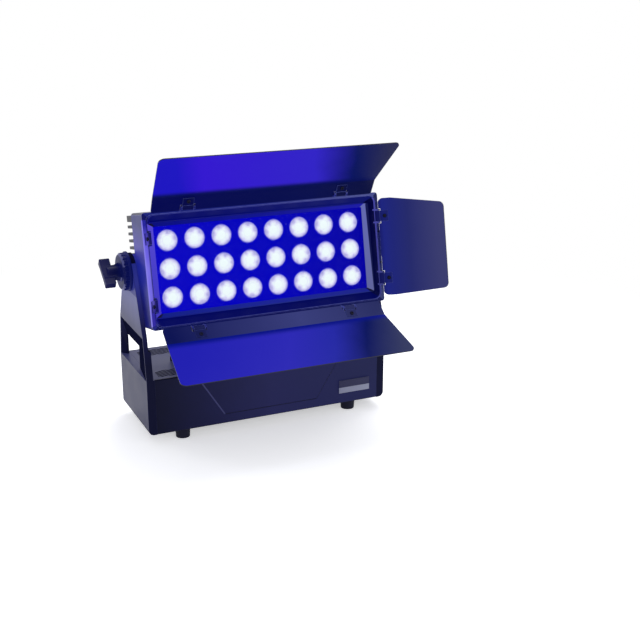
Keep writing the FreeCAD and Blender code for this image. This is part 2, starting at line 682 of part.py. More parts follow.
def rear_panel():
    """Sheet that closes the back, with openings for the sockets, read-out and buttons."""
    body = new_body("rear_panel")
    sheet = new_sketch(body, "XZ_Plane", -PANEL_INNER)
    draw_rectangle(sheet, -HOUSING_HALF, S.foot_height, HOUSING_HALF, BASE_TOP)
    pad(body, sheet, S.rear_wall, back=True)
    posts = new_sketch(body, "XZ_Plane", -PANEL_INNER)
    for side in (-1, 1):
        for end in (-1, 1):
            draw_circle(posts, S.display_x + (S.panel_board_length / 2 - S.post_radius) * side,
                        PANEL_BOARD_ROW + (S.panel_board_height / 2 - S.post_radius) * end,
                        S.post_radius)
    pad(body, posts, S.panel_board_gap)
    openings = new_sketch(body, "XZ_Plane", -HALF_DEPTH)
    for place in (S.power_in_x, S.power_out_x, S.data_in_x, S.data_out_x):
        draw_circle(openings, place, PANEL_ROW, S.socket_radius)
    draw_circle(openings, S.fuse_x, PANEL_ROW, S.fuse_body_radius)
    for place in BUTTON_PLACES:
        draw_circle(openings, place, BUTTON_ROW, S.button_radius + S.button_gap)
    draw_rectangle(openings, S.display_x - S.display_width / 2, DISPLAY_ROW - S.display_height / 2,
                   S.display_x + S.display_width / 2, DISPLAY_ROW + S.display_height / 2)
    for x, z in panel_screw_places():
        draw_circle(openings, x, z, S.screw_radius)
    pocket(body, openings, S.rear_wall, back=True)
    return keep(body, "rear_panel")


def panel_screw_places():
    """Screws along the rear panel's lower edge and at its upper corners."""
    low, high = S.foot_height + S.panel_screw_rise, BASE_TOP - S.panel_screw_inset
    reach = HOUSING_HALF - S.panel_screw_inset
    row = [(reach * share, low) for share in PANEL_SCREW_SHARES]
    return row + [(-reach, high), (reach, high)]


def arm_outline(shoulder, top):
    """Corners of the arm from the side: splayed legs, leaning edges and a round head."""
    return [(-HALF_DEPTH, BASE_TOP - S.base_wall), (HALF_DEPTH, BASE_TOP - S.base_wall),
            (HALF_DEPTH, BASE_TOP), (shoulder, top),
            (S.arm_head_radius * cosine(S.arm_lean_angle),
             S.pivot_height + S.arm_head_radius * sine(S.arm_lean_angle), ZERO, S.pivot_height),
            (-(S.arm_head_radius * cosine(S.arm_lean_angle)),
             S.pivot_height + S.arm_head_radius * sine(S.arm_lean_angle)),
            (-shoulder, top), (-HALF_DEPTH, BASE_TOP)]


def left_arm_frame():
    """Casting that closes the base's end and rises as the arm, with its hand-hold window."""
    body = new_body("left_arm_frame")
    outer = -HALF_WIDTH
    crease = BASE_TOP + S.crease_height
    rise = S.pivot_height + S.arm_head_radius * sine(S.arm_lean_angle) - crease
    shoulder = S.arm_head_radius * cosine(S.arm_lean_angle) + rise * tangent(S.arm_lean_angle)
    end = new_sketch(body, "YZ_Plane", outer)
    draw_rectangle(end, -HALF_DEPTH, S.foot_height, HALF_DEPTH, BASE_TOP)
    block = pad(body, end, S.frame_end)
    block = round_edges(body, block, S.frame_corner, lambda edge: runs_along(edge, 1)
                        and near(edge.CenterOfMass.x, outer)
                        and near(edge.CenterOfMass.z, S.foot_height))
    arm = new_sketch(body, "YZ_Plane", outer)
    draw_outline(arm, arm_outline(shoulder, crease))
    pad(body, arm, S.arm_plate)
    splay = (HALF_DEPTH - shoulder) / S.crease_height
    grip = new_sketch(body, "YZ_Plane", outer)
    grip_half = HALF_DEPTH - splay * S.grip_top
    draw_outline(grip, [(-HALF_DEPTH, BASE_TOP - S.base_wall),
                        (HALF_DEPTH, BASE_TOP - S.base_wall), (HALF_DEPTH, BASE_TOP),
                        (grip_half, BASE_TOP + S.grip_top), (-grip_half, BASE_TOP + S.grip_top),
                        (-HALF_DEPTH, BASE_TOP)])
    pad(body, grip, S.grip_plate)
    mouth = new_sketch(body, "YZ_Plane", outer)
    draw_outline(mouth, [(-HALF_DEPTH + S.hold_front_rim, BASE_TOP),
                         (HALF_DEPTH - S.hold_rear_rim, BASE_TOP),
                         (shoulder - S.hold_rear_rim, crease),
                         (-shoulder + S.hold_front_rim, crease)])
    floor = new_sketch(body, "YZ_Plane", outer + S.hold_depth)
    window = (-shoulder + S.window_front, BASE_TOP, shoulder - S.hold_rear_rim,
              BASE_TOP + S.window_height)
    draw_rectangle(floor, *window)
    slope = body.newObject("PartDesign::SubtractiveLoft", "hand_hold")
    slope.Profile = mouth
    slope.Sections = [floor]
    slope.Ruled = True
    through = new_sketch(body, "YZ_Plane", outer)
    draw_rectangle(through, *window)
    pocket(body, through, S.frame_end, back=True)
    bore = new_sketch(body, "YZ_Plane", outer)
    draw_circle(bore, ZERO, S.pivot_height, S.bush_radius)
    pocket(body, bore, S.frame_end, back=True)
    return keep(body, "left_arm_frame")


def rubber_feet():
    """Four tapered rubber feet, each with a round recess and a bore for its screw's head."""
    feet = []
    for side in (-1, 1):
        for end in (-1, 1):
            x, y = S.foot_across / 2 * side, S.foot_along / 2 * end
            foot = cone("foot", S.foot_radius - S.foot_draft, S.foot_radius, S.foot_height, x, y, ZERO)
            recess = fuse("foot_cuts",
                          rod("foot_recess", S.foot_recess_radius, S.foot_recess_depth, x, y, ZERO),
                          rod("foot_bore", S.foot_bore_radius, S.foot_bore_depth, x, y, ZERO),
                          rod("foot_hole", S.screw_radius, S.foot_height, x, y, ZERO))
            feet.append(cut("rubber_foot", foot, recess))
    return keep(group("rubber_feet", feet), "rubber_feet")


def foot_screws():
    """Screws that hold the feet, from the bore up into the housing's floor."""
    screws = []
    for side in (-1, 1):
        for end in (-1, 1):
            screws.append(pan_screw("foot_screw", S.foot_across / 2 * side, S.foot_along / 2 * end,
                                    S.foot_bore_depth, "-z", S.screw_head_radius,
                                    S.screw_head_height, S.screw_radius,
                                    S.foot_height - S.foot_bore_depth + S.base_wall))
    return keep(group("foot_screws", screws), "foot_screws")


def rear_panel_screws():
    """Screws round the rear panel."""
    screws = [pan_screw("panel_screw", x, HALF_DEPTH, z, "y", S.screw_head_radius,
                        S.screw_head_height, S.screw_radius, S.rear_wall)
              for x, z in panel_screw_places()]
    return keep(group("rear_panel_screws", screws), "rear_panel_screws")


def power_supply():
    """Enclosed supply on the housing's posts, with its terminal strip at one end."""
    under = FLOOR_TOP + S.post_height
    case = box("supply_case", S.supply_x, SUPPLY_MIDDLE, under + S.supply_height / 2,
               S.supply_length / 2, SUPPLY_DEPTH / 2, S.supply_height / 2)
    strip = box("supply_terminals", S.supply_x + S.supply_length / 2 + S.terminal_depth / 2,
                SUPPLY_MIDDLE, under + S.terminal_height / 2, S.terminal_depth / 2,
                SUPPLY_DEPTH / 2 - S.post_inset, S.terminal_height / 2)
    return keep(fuse("power_supply", case, strip), "power_supply")


def driver_board():
    """Circuit board with two coils on the posts of the housing's floor."""
    under = FLOOR_TOP + S.post_height
    sheet = box("driver_sheet", S.driver_x, SUPPLY_MIDDLE, under + S.circuit_sheet / 2,
                S.driver_length / 2, SUPPLY_DEPTH / 2, S.circuit_sheet / 2)
    pieces = [sheet]
    for share in COIL_SHARES:
        pieces.append(box("driver_coil", S.driver_x + S.driver_length * share, SUPPLY_MIDDLE,
                          under + S.circuit_sheet + S.choke_size / 2, S.choke_size / 2,
                          S.choke_size / 2, S.choke_size / 2))
    return keep(fuse("driver_board", *pieces), "driver_board")


def display_pieces():
    """Read-out window in the rear panel and the board behind it with its switches."""
    window = box("display_window", S.display_x, PANEL_INNER + S.rear_wall / 2, DISPLAY_ROW,
                 S.display_width / 2, S.rear_wall / 2, S.display_height / 2)
    keep(window, "display_window")
    face = PANEL_INNER - S.panel_board_gap
    pieces = [box("panel_board", S.display_x, face - S.circuit_sheet / 2, PANEL_BOARD_ROW,
                  S.panel_board_length / 2, S.circuit_sheet / 2, S.panel_board_height / 2)]
    pieces += [box("switch", place, face + S.switch_height / 2, BUTTON_ROW, S.switch_size / 2,
                   S.switch_height / 2, S.switch_size / 2) for place in BUTTON_PLACES]
    screen = (S.panel_board_gap - S.seat_gap) / 2
    pieces.append(box("screen", S.display_x, face + screen, DISPLAY_ROW,
                      S.display_width / 2 - S.post_radius, screen, S.display_height / 2))
    keep(fuse("display_board", *pieces), "display_board")


def buttons():
    """Four push buttons held behind the panel by their collars."""
    for name, place in zip(BUTTON_NAMES, BUTTON_PLACES):
        collar_back = PANEL_INNER - S.seat_gap - S.button_flange
        stem_back = (PANEL_INNER - S.panel_board_gap + S.switch_height + S.button_travel
                     + S.seat_gap)
        cap = rod("button_cap", S.button_radius, HALF_DEPTH + S.button_stand_out - collar_back,
                  place, collar_back, BUTTON_ROW, "y")
        collar = rod("button_collar", S.button_flange_radius, S.button_flange, place, collar_back,
                     BUTTON_ROW, "y")
        stem = rod("button_stem", S.screw_radius, collar_back - stem_back, place, stem_back,
                   BUTTON_ROW, "y")
        keep(fuse("button", cap, collar, stem), "button_" + name)


def socket_shell(name, x, *extra):
    """Flange on the panel with the round body behind it."""
    flange = box(name + "_flange", x, HALF_DEPTH + S.socket_flange / 2, PANEL_ROW,
                 S.socket_width / 2, S.socket_flange / 2, S.socket_height / 2)
    barrel = rod(name + "_barrel", S.socket_radius, S.socket_body + S.rear_wall, x,
                 PANEL_INNER - S.socket_body, PANEL_ROW, "y")
    return fuse(name + "_shell", flange, barrel, *extra)


def power_socket(name, x):
    """Round locking power socket with a collar and a contact core."""
    collar = rod(name + "_collar", S.power_collar_radius, S.power_collar, x, HALF_DEPTH, PANEL_ROW,
                 "y")
    shell = socket_shell(name, x, collar)
    outer = HALF_DEPTH + S.power_collar + S.overrun
    bore = rod(name + "_bore", S.power_bore_radius, outer - PANEL_INNER, x, PANEL_INNER, PANEL_ROW,
               "y")
    core = rod(name + "_core", S.power_core_radius, S.rear_wall + S.power_collar - S.overrun, x,
               PANEL_INNER, PANEL_ROW, "y")
    keep(fuse(name, cut(name + "_cup", shell, bore), core), name)


def data_socket(name, x, has_pins):
    """Round data socket: pins in a bore, or a core with holes."""
    shell = socket_shell(name, x)
    outer = HALF_DEPTH + S.socket_flange + S.overrun
    foot = HALF_DEPTH + S.socket_flange - S.data_depth
    bore = rod(name + "_bore", S.data_bore_radius, outer - foot, x, foot, PANEL_ROW, "y")
    cup = cut(name + "_cup", shell, bore)
    count = int(plain(S.contact_count))
    contacts = []
    for step in range(count):
        turn = S.contact_start_angle + FULL_TURN / count * step
        contacts.append(rod(name + "_contact", S.contact_radius, S.data_depth - S.socket_flange,
                            x + S.contact_ring * cosine(turn), foot,
                            PANEL_ROW + S.contact_ring * sine(turn), "y"))
    if has_pins:
        keep(fuse(name, cup, *contacts), name)
        return
    core = rod(name + "_core", S.data_bore_radius - S.contact_radius,
               S.data_depth - S.socket_flange, x, foot, PANEL_ROW, "y")
    keep(fuse(name, cup, cut(name + "_face", core, group(name + "_holes", contacts))), name)


def fuse_pieces():
    """Fuse holder through the panel and its turning cap with the fuse carrier."""
    flange = rod("fuse_flange", S.fuse_flange_radius, S.fuse_flange, S.fuse_x, HALF_DEPTH,
                 PANEL_ROW, "y")
    barrel = rod("fuse_barrel", S.fuse_body_radius, S.fuse_body + S.rear_wall, S.fuse_x,
                 PANEL_INNER - S.fuse_body, PANEL_ROW, "y")
    depth = S.fuse_plug + S.seat_gap
    bore = rod("fuse_bore", S.fuse_plug_radius + S.running_gap, depth + S.overrun, S.fuse_x,
               HALF_DEPTH + S.fuse_flange - depth, PANEL_ROW, "y")
    keep(cut("fuse_holder", fuse("fuse_shell", flange, barrel), bore), "fuse_holder")
    face = HALF_DEPTH + S.fuse_flange + S.seat_gap
    cap = rod("fuse_knob", S.fuse_cap_radius, S.fuse_cap_height, S.fuse_x, face, PANEL_ROW, "y")
    plug = rod("fuse_plug", S.fuse_plug_radius, S.fuse_plug, S.fuse_x, face - S.fuse_plug,
               PANEL_ROW, "y")
    slot = box("fuse_slot", S.fuse_x, face + S.fuse_cap_height, PANEL_ROW,
               S.fuse_cap_radius + S.overrun, S.fuse_slot_depth, S.fuse_slot_width / 2)
    keep(cut("fuse_cap", fuse("fuse_cap_solid", cap, plug), slot), "fuse_cap")


def cable_gland(name, x, y, z, axis):
    """Gland with a lower nut, a ring and a cap nut, open where the lead goes through."""
    sign = -1 if axis == "-z" else 1
    rise = S.gland_nut + S.gland_cap_gap
    nut = hexagon(name + "_nut", S.gland_radius, S.gland_nut, x, y, z, axis)
    ring = rod(name + "_ring", S.gland_body_radius, rise, x, y, z, axis)
    cap = hexagon(name + "_cap", S.gland_radius, S.gland_cap / 2, x, y, z + rise * sign, axis)
    nose = cone(name + "_nose", S.gland_body_radius, S.gland_bore_radius + S.base_wall,
                S.gland_cap / 2, x, y, z + (rise + S.gland_cap / 2) * sign, axis)
    thread = rod(name + "_thread", S.gland_thread_radius, S.gland_thread, x, y,
                 z - S.gland_thread * sign, axis)
    solid = fuse(name + "_solid", nut, ring, cap, nose, thread)
    bore = rod(name + "_bore", S.gland_bore_radius,
               S.gland_thread + rise + S.gland_cap + S.overrun * 2, x, y,
               z - (S.gland_thread + S.overrun) * sign, axis)
    return cut(name, solid, bore)


def safety_eye():
    """Steel eye on the rear panel for a safety wire."""
    body = new_body("safety_eye")
    foot = new_sketch(body, "XZ_Plane", -HALF_DEPTH)
    middle = S.foot_height + S.eye_up
    draw_rectangle(foot, S.eye_x - S.eye_plate_width / 2, middle - S.eye_plate_height / 2,
                   S.eye_x + S.eye_plate_width / 2, middle + S.eye_plate_height / 2)
    pad(body, foot, S.eye_sheet, back=True)
    tab = new_sketch(body, "YZ_Plane", S.eye_x)
    draw_outline(tab, [(HALF_DEPTH, middle - S.eye_radius),
                       (HALF_DEPTH + S.eye_reach, middle - S.eye_radius, HALF_DEPTH + S.eye_reach,
                        middle),
                       (HALF_DEPTH + S.eye_reach, middle + S.eye_radius),
                       (HALF_DEPTH, middle + S.eye_radius)])
    pad(body, tab, S.eye_sheet, both=True)
    hole = new_sketch(body, "YZ_Plane", S.eye_x)
    draw_circle(hole, HALF_DEPTH + S.eye_reach, middle, S.eye_hole_radius)
    pocket(body, hole, S.eye_sheet + S.overrun, both=True)
    return keep(body, "safety_eye")


def quarter_turn_sockets():
    """Two flanged sockets under the base that take quarter-turn studs."""
    sockets = []
    low = S.foot_height - S.quarter_flange
    for side in (-1, 1):
        x = S.quarter_spacing / 2 * side
        solid = fuse("quarter_solid",
                     rod("quarter_flange", S.quarter_flange_radius, S.quarter_flange, x, ZERO, low),
                     rod("quarter_body", S.quarter_body_radius, S.quarter_flange + S.quarter_body,
                         x, ZERO, low))
        hole = rod("quarter_hole", S.quarter_hole_radius,
                   S.quarter_flange + S.quarter_body + S.overrun * 2, x, ZERO, low - S.overrun)
        slot = box("quarter_slot", x, ZERO, low, S.quarter_slot_length / 2,
                   S.quarter_slot_width / 2, S.quarter_slot_depth)
        sockets.append(cut("quarter_socket", solid, fuse("quarter_cut", hole, slot)))
    return keep(group("quarter_turn_sockets", sockets), "quarter_turn_sockets")


# Tilt clamps

def pivot_bush():
    """Flanged bush in the arm's head that the knob's stud runs in."""
    length = S.arm_plate
    wall = ARM_INNER
    sleeve = rod("bush_sleeve", S.bush_radius, length, -HALF_WIDTH, ZERO, S.pivot_height, "x")
    flange = rod("bush_flange", S.bush_flange_radius,
                 ARM_INNER - HEAD_HALF_WIDTH - S.seat_gap, -wall, ZERO, S.pivot_height, "x")
    bore = rod("bush_bore", S.stud_radius + S.running_gap, length * 2 + S.overrun,
               -HALF_WIDTH - S.overrun, ZERO, S.pivot_height, "x")
    bush = cut("left_pivot_bush", fuse("bush_solid", sleeve, flange), bore)
    keep(bush, "left_pivot_bush")
    keep(mirrored("right_pivot_bush", bush), "right_pivot_bush")


def tilt_knob(name, angle, side):
    """Fluted knob with a T grip, drawn up its own axis and turned to stand on the arm."""
    body = new_body(name)
    profile = new_sketch(body, "XZ_Plane")
    draw_outline(profile, [
        (ZERO, S.stud_in_knob), (S.stud_radius, S.stud_in_knob), (S.stud_radius, ZERO),
        (S.knob_radius, ZERO), (S.knob_radius, S.knob_flange),
        (S.knob_radius - S.edge_round, S.knob_flange + S.edge_round),
        (S.knob_radius - S.edge_round, S.knob_body - S.knob_bevel),
        (S.knob_radius - S.edge_round - S.knob_bevel, S.knob_body),
        (S.neck_radius, S.knob_body), (S.neck_radius, S.neck_top + S.grip_bar_height / 2),
        (ZERO, S.neck_top + S.grip_bar_height / 2)])
    turned = body.newObject("PartDesign::Revolution", "turned")
    turned.Profile = profile
    turned.ReferenceAxis = (profile, ["V_Axis"])
    flute = new_sketch(body, "XY_Plane", S.knob_flange + S.edge_round)
    draw_circle(flute, S.knob_radius + S.running_gap, ZERO, S.flute_radius)
    notch = pocket(body, flute, S.knob_body, back=True)
    ring = body.newObject("PartDesign::PolarPattern", "flutes")
    ring.Originals = [notch]
    ring.Axis = (flute, ["N_Axis"])
    ring.setExpression("Occurrences", S.flute_count.formula)
    body.Tip = ring
    bar = new_sketch(body, "XY_Plane", S.neck_top)
    half, straight = S.grip_bar_length / 2, S.grip_bar_straight
    thick, end = S.grip_bar_width / 2, S.grip_bar_width / 2 + S.grip_bar_flare / 2
    draw_outline(bar, [(-half, -end), (-straight, -thick), (straight, -thick), (half, -end),
                       (half, end), (straight, thick), (-straight, thick), (-half, end)])
    grip = pad(body, bar, S.grip_bar_height)
    round_edges(body, grip, S.edge_round, lambda edge: runs_along(edge, 1)
                and near(abs(edge.CenterOfMass.x), half))
    upright = Rotation(Vector(0, 1, 0), 90 * side) * Rotation(Vector(0, 0, 1), 0)
    turn = Rotation(Vector(1, 0, 0), -angle.number)
    foot = HALF_WIDTH + S.seat_gap
    keep(body, name, Placement(Vector(foot.number * side, 0, S.pivot_height.number),
                               turn * upright))
    stud_length = S.stud_in_knob + S.seat_gap + HALF_WIDTH - HEAD_HALF_WIDTH + S.stud_reach
    start = (foot + S.stud_in_knob) * side
    stud = rod(name + "_stud", S.stud_radius, stud_length, start, ZERO, S.pivot_height,
               "x" if side < 0 else "-x")
    keep(stud, name.replace("tilt_knob", "knob_stud"))


# Lamp head

def head_housing():
    """Cast frame of the head with thick side walls that carry the pivot lobes."""
    body = new_body("head_housing")
    ring = new_sketch(body, "XZ_Plane", S.housing_back)
    draw_rectangle(ring, -HEAD_HALF_WIDTH, -HEAD_HALF_HEIGHT, HEAD_HALF_WIDTH, HEAD_HALF_HEIGHT)
    draw_rectangle(ring, -CAVITY_HALF_WIDTH, -CAVITY_HALF_HEIGHT, CAVITY_HALF_WIDTH,
                   CAVITY_HALF_HEIGHT)
    frame = pad(body, ring, BEZEL_BACK - S.housing_back)
    round_edges(body, frame, S.head_corner, lambda edge: runs_along(edge, 1)
                and near(abs(edge.CenterOfMass.x), HEAD_HALF_WIDTH))
    root = -(S.housing_back + S.lobe_thickness)
    for place, back in ((-HEAD_HALF_WIDTH, False), (HEAD_HALF_WIDTH, True)):
        lobe = new_sketch(body, "YZ_Plane", place)
        draw_outline(lobe, [(root, -S.lobe_radius), (ZERO, -S.lobe_radius, ZERO, ZERO),
                            (ZERO, S.lobe_radius), (root, S.lobe_radius)])
        pad(body, lobe, S.housing_side, back=back)
        bore = new_sketch(body, "YZ_Plane", place)
        draw_circle(bore, ZERO, ZERO, S.bush_radius)
        pocket(body, bore, S.housing_side, back=not back)
    hole = new_sketch(body, "XY_Plane", -HEAD_HALF_HEIGHT)
    draw_circle(hole, S.head_gland_x, S.head_gland_y, S.gland_thread_radius)
    pocket(body, hole, S.housing_wall, back=True)
    screws = new_sketch(body, "XZ_Plane", BEZEL_BACK)
    for x, z in bezel_screw_places():
        draw_circle(screws, x, z, S.bezel_screw_radius)
    pocket(body, screws, S.bezel_screw_length - S.overrun)
    return keep(body, "head_housing", HEAD_PLACEMENT)


def bezel_screw_places():
    """Screws in the side walls of the head, through the bezel's frame."""
    x = HEAD_HALF_WIDTH - S.housing_side / 2
    z = HEAD_HALF_HEIGHT - S.bezel_screw_inset * 2
    return [(x * side, z * share) for side in (-1, 1) for share in BEZEL_SCREW_SHARES]


def heatsink():
    """Base plate that closes the housing, with horizontal fins and a thick fin at either edge."""
    body = new_body("heatsink")
    half_x = CAVITY_HALF_WIDTH - S.sink_side_gap
    half_z = CAVITY_HALF_HEIGHT - S.sink_side_gap
    plate = new_sketch(body, "XZ_Plane", S.housing_back)
    draw_rectangle(plate, -half_x, -half_z, half_x, half_z)
    pad(body, plate, S.sink_plate)
    fins = new_sketch(body, "XZ_Plane", S.housing_back)
    count = int(plain(S.fin_pairs))
    for step in range(-count, count + 1):
        middle = S.fin_pitch * step
        draw_rectangle(fins, -half_x, middle - S.fin_thickness / 2, half_x,
                       middle + S.fin_thickness / 2)
    for sign in (-1, 1):
        outer, inner = half_z * sign, (half_z - S.fin_cap) * sign
        low, high = (outer, inner) if sign < 0 else (inner, outer)
        draw_rectangle(fins, -half_x, low, half_x, high)
    pad(body, fins, S.fin_back + S.housing_back, back=True)
    posts = new_sketch(body, "XZ_Plane", SINK_FRONT)
    for across, up in BOARD_POST_SHARES:
        draw_circle(posts, S.lens_pitch * across, S.lens_pitch * up, S.post_radius)
    pad(body, posts, PLATE_BACK - SINK_FRONT)
    return keep(body, "heatsink", HEAD_PLACEMENT)


def led_board():
    """Metal-core board on the heatsink, with holes for the posts."""
    half_x = COLUMN_PLACES[-1] + S.board_margin
    half_z = ROW_PLACES[-1] + S.board_margin_up
    sheet = box("board_sheet", ZERO, -(SINK_FRONT + S.board_thickness / 2), ZERO, half_x,
                S.board_thickness / 2, half_z)
    holes = [rod("board_hole", S.post_radius + S.running_gap, S.board_thickness + S.overrun * 2,
                 S.lens_pitch * across, -(BOARD_FRONT + S.overrun), S.lens_pitch * up, "y")
             for across, up in BOARD_POST_SHARES]
    return keep(cut("led_board", sheet, group("board_holes", holes)), "led_board", HEAD_PLACEMENT)


def led_emitters():
    """One square light source under each lens."""
    emitters = [box("emitter", x, -(BOARD_FRONT + S.emitter_height / 2), z, S.emitter_size / 2,
                    S.emitter_height / 2, S.emitter_size / 2)
                for x in COLUMN_PLACES for z in ROW_PLACES]
    return keep(group("led_emitters", emitters), "led_emitters", HEAD_PLACEMENT)


def lens_array():
    """Separate cone lenses, each a straight rim over a cone that ends above its light source."""
    foot = EMITTER_FRONT + S.seat_gap
    lenses = []
    for x in COLUMN_PLACES:
        for z in ROW_PLACES:
            tail = cone("lens_cone", S.lens_foot_radius, S.lens_radius,
                        S.lens_front - S.lens_rim - foot, x, -foot, z, "-y")
            rim = rod("lens_rim", S.lens_radius, S.lens_rim, x, -(S.lens_front - S.lens_rim), z,
                      "-y")
            lenses.append(fuse("lens", tail, rim))
    return keep(group("lens_array", lenses), "lens_array", HEAD_PLACEMENT)


def lens_plate():
    """Plate round the lenses that fills the face behind the glass."""
    body = new_body("lens_plate")
    sheet = new_sketch(body, "XZ_Plane", PLATE_BACK)
    half_x, half_z = CAVITY_HALF_WIDTH - S.sink_side_gap, CAVITY_HALF_HEIGHT - S.sink_side_gap
    draw_rectangle(sheet, -half_x, -half_z, half_x, half_z)
    for x in COLUMN_PLACES:
        for z in ROW_PLACES:
            draw_circle(sheet, x, z, S.lens_radius + S.lens_hole_gap)
    pad(body, sheet, S.plate_thickness)
    return keep(body, "lens_plate", HEAD_PLACEMENT)


def front_glass():
    """Cover glass in front of the lenses."""
    glass = box("glass", ZERO, -(GLASS_BACK + S.glass_thickness / 2), ZERO,
                CAVITY_HALF_WIDTH - S.glass_margin, S.glass_thickness / 2,
                CAVITY_HALF_HEIGHT - S.glass_margin)
    return keep(group("front_glass", [glass]), "front_glass", HEAD_PLACEMENT)


def glass_seal():
    """Rubber frame between the lens plate and the glass."""
    body = new_body("glass_seal")
    ring = new_sketch(body, "XZ_Plane", PLATE_FRONT)
    half_x, half_z = CAVITY_HALF_WIDTH - S.glass_margin, CAVITY_HALF_HEIGHT - S.glass_margin
    draw_rectangle(ring, -half_x, -half_z, half_x, half_z)
    draw_rectangle(ring, -half_x + S.seal_width, -half_z + S.seal_width, half_x - S.seal_width,
                   half_z - S.seal_width)
    pad(body, ring, GLASS_BACK - PLATE_FRONT)
    return keep(body, "glass_seal", HEAD_PLACEMENT)


def glass_retainer():
    """Bevelled inner frame that presses on the glass."""
    body = new_body("glass_retainer")
    ring = new_sketch(body, "XZ_Plane", GLASS_FRONT)
    half_x, half_z = RETAINER_HALF_WIDTH, RETAINER_HALF_HEIGHT
    draw_rounded(ring, half_x, half_z, S.throat_corner)
    draw_rectangle(ring, -half_x + S.bevel_side + S.bevel_rim,
                   -half_z + S.bevel_level + S.bevel_rim,
                   half_x - S.bevel_side - S.bevel_rim, half_z - S.bevel_level - S.bevel_rim)
    pad(body, ring, S.retainer_depth)
    wide = new_sketch(body, "XZ_Plane", GLASS_FRONT + S.retainer_depth)
    draw_rectangle(wide, -half_x + S.bevel_rim, -half_z + S.bevel_rim, half_x - S.bevel_rim,
                   half_z - S.bevel_rim)
    narrow = new_sketch(body, "XZ_Plane", GLASS_FRONT + S.bevel_rim / 2)
    draw_rectangle(narrow, -half_x + S.bevel_side + S.bevel_rim,
                   -half_z + S.bevel_level + S.bevel_rim,
                   half_x - S.bevel_side - S.bevel_rim, half_z - S.bevel_level - S.bevel_rim)
    bevel = body.newObject("PartDesign::SubtractiveLoft", "bevel")
    bevel.Profile = wide
    bevel.Sections = [narrow]
    bevel.Ruled = True
    return keep(body, "glass_retainer", HEAD_PLACEMENT)


def front_bezel():
    """Outer front frame whose opening narrows from the rim to the inner frame."""
    body = new_body("front_bezel")
    block = new_sketch(body, "XZ_Plane", BEZEL_BACK)
    draw_rectangle(block, -HEAD_HALF_WIDTH, -HEAD_HALF_HEIGHT, HEAD_HALF_WIDTH, HEAD_HALF_HEIGHT)
    solid = pad(body, block, S.bezel_depth)
    round_edges(body, solid, S.head_corner, lambda edge: runs_along(edge, 1))
    front = new_sketch(body, "XZ_Plane", S.bezel_front)
    draw_rounded(front, MOUTH_HALF_WIDTH - S.rim_wall, MOUTH_HALF_HEIGHT - S.rim_wall,
                 S.mouth_corner)
    back = new_sketch(body, "XZ_Plane", BEZEL_BACK)
    draw_rounded(back, RETAINER_HALF_WIDTH + S.sink_side_gap,
                 RETAINER_HALF_HEIGHT + S.sink_side_gap, S.throat_corner)
    throat = body.newObject("PartDesign::SubtractiveLoft", "throat")
    throat.Profile = front
    throat.Sections = [back]
    throat.Ruled = True
    holes = new_sketch(body, "XZ_Plane", S.bezel_front)
    for x, z in bezel_screw_places():
        draw_circle(holes, x, z, S.bezel_screw_radius)
    pocket(body, holes, S.bezel_depth)
    return keep(body, "front_bezel", HEAD_PLACEMENT)


def bezel_screws():
    """Countersunk screws through the bezel into the housing."""
    screws = [rod("bezel_screw", S.bezel_screw_radius, S.bezel_screw_length, x, -S.bezel_front, z,
                  "y") for x, z in bezel_screw_places()]
    return keep(group("bezel_screws", screws), "bezel_screws", HEAD_PLACEMENT)


def pivot_inserts():
    """Steel inserts in the lobes that the knob studs screw into."""
    inserts = []
    for side, axis in ((-1, "x"), (1, "-x")):
        place = HEAD_HALF_WIDTH * side
        sleeve = rod("insert_sleeve", S.bush_radius, S.housing_side, place, ZERO, ZERO, axis)
        start = (HEAD_HALF_WIDTH + S.overrun) * side
        bore = rod("insert_bore", S.stud_radius + S.running_gap, S.housing_side + S.overrun * 2,
                   start, ZERO, ZERO, axis)
        inserts.append(cut("pivot_insert", sleeve, bore))
    return keep(group("pivot_inserts", inserts), "pivot_inserts", HEAD_PLACEMENT)


def barn_door_frame():
    """Sheet frame on the bezel with a raised rim round the face and eight pairs of hinge ears."""
    body = new_body("barn_door_frame")
    sheet = new_sketch(body, "XZ_Plane", S.bezel_front)
    draw_rounded(sheet, HEAD_HALF_WIDTH, HEAD_HALF_HEIGHT, S.head_corner)
    draw_rounded(sheet, MOUTH_HALF_WIDTH - S.rim_wall, MOUTH_HALF_HEIGHT - S.rim_wall,
                 S.mouth_corner)
    pad(body, sheet, S.door_sheet)
    rim = new_sketch(body, "XZ_Plane", S.bezel_front)
    draw_rounded(rim, MOUTH_HALF_WIDTH, MOUTH_HALF_HEIGHT, S.mouth_corner)
    draw_rounded(rim, MOUTH_HALF_WIDTH - S.rim_wall, MOUTH_HALF_HEIGHT - S.rim_wall,
                 S.mouth_corner)
    pad(body, rim, S.door_sheet + S.rim_height)
    middle_gap = (EAR_INNER + EAR_OUTER) / 2
    for place in (-S.hinge_spread_level, S.hinge_spread_level):
        for side in (-1, 1):
            ears = new_sketch(body, "YZ_Plane", place + middle_gap * side)
            for sign in (-1, 1):
                draw_ear(ears, S.hinge_up * sign, True, sign)
            pad(body, ears, S.ear_thickness, both=True)
    for place in (-S.hinge_spread_side, S.hinge_spread_side):
        for side in (-1, 1):
            ears = new_sketch(body, "XY_Plane", place + middle_gap * side)
            for sign in (-1, 1):
                draw_ear(ears, S.hinge_out * sign, False, sign)
            pad(body, ears, S.ear_thickness, both=True)
    level = new_sketch(body, "YZ_Plane")
    upright = new_sketch(body, "XY_Plane")
    for sign in (-1, 1):
        draw_circle(level, -S.hinge_forward, S.hinge_up * sign, S.pin_radius)
        draw_circle(upright, S.hinge_out * sign, -S.hinge_forward, S.pin_radius)
    pocket(body, level, S.head_width, both=True)
    pocket(body, upright, S.head_height, both=True)
    return keep(body, "barn_door_frame", HEAD_PLACEMENT)


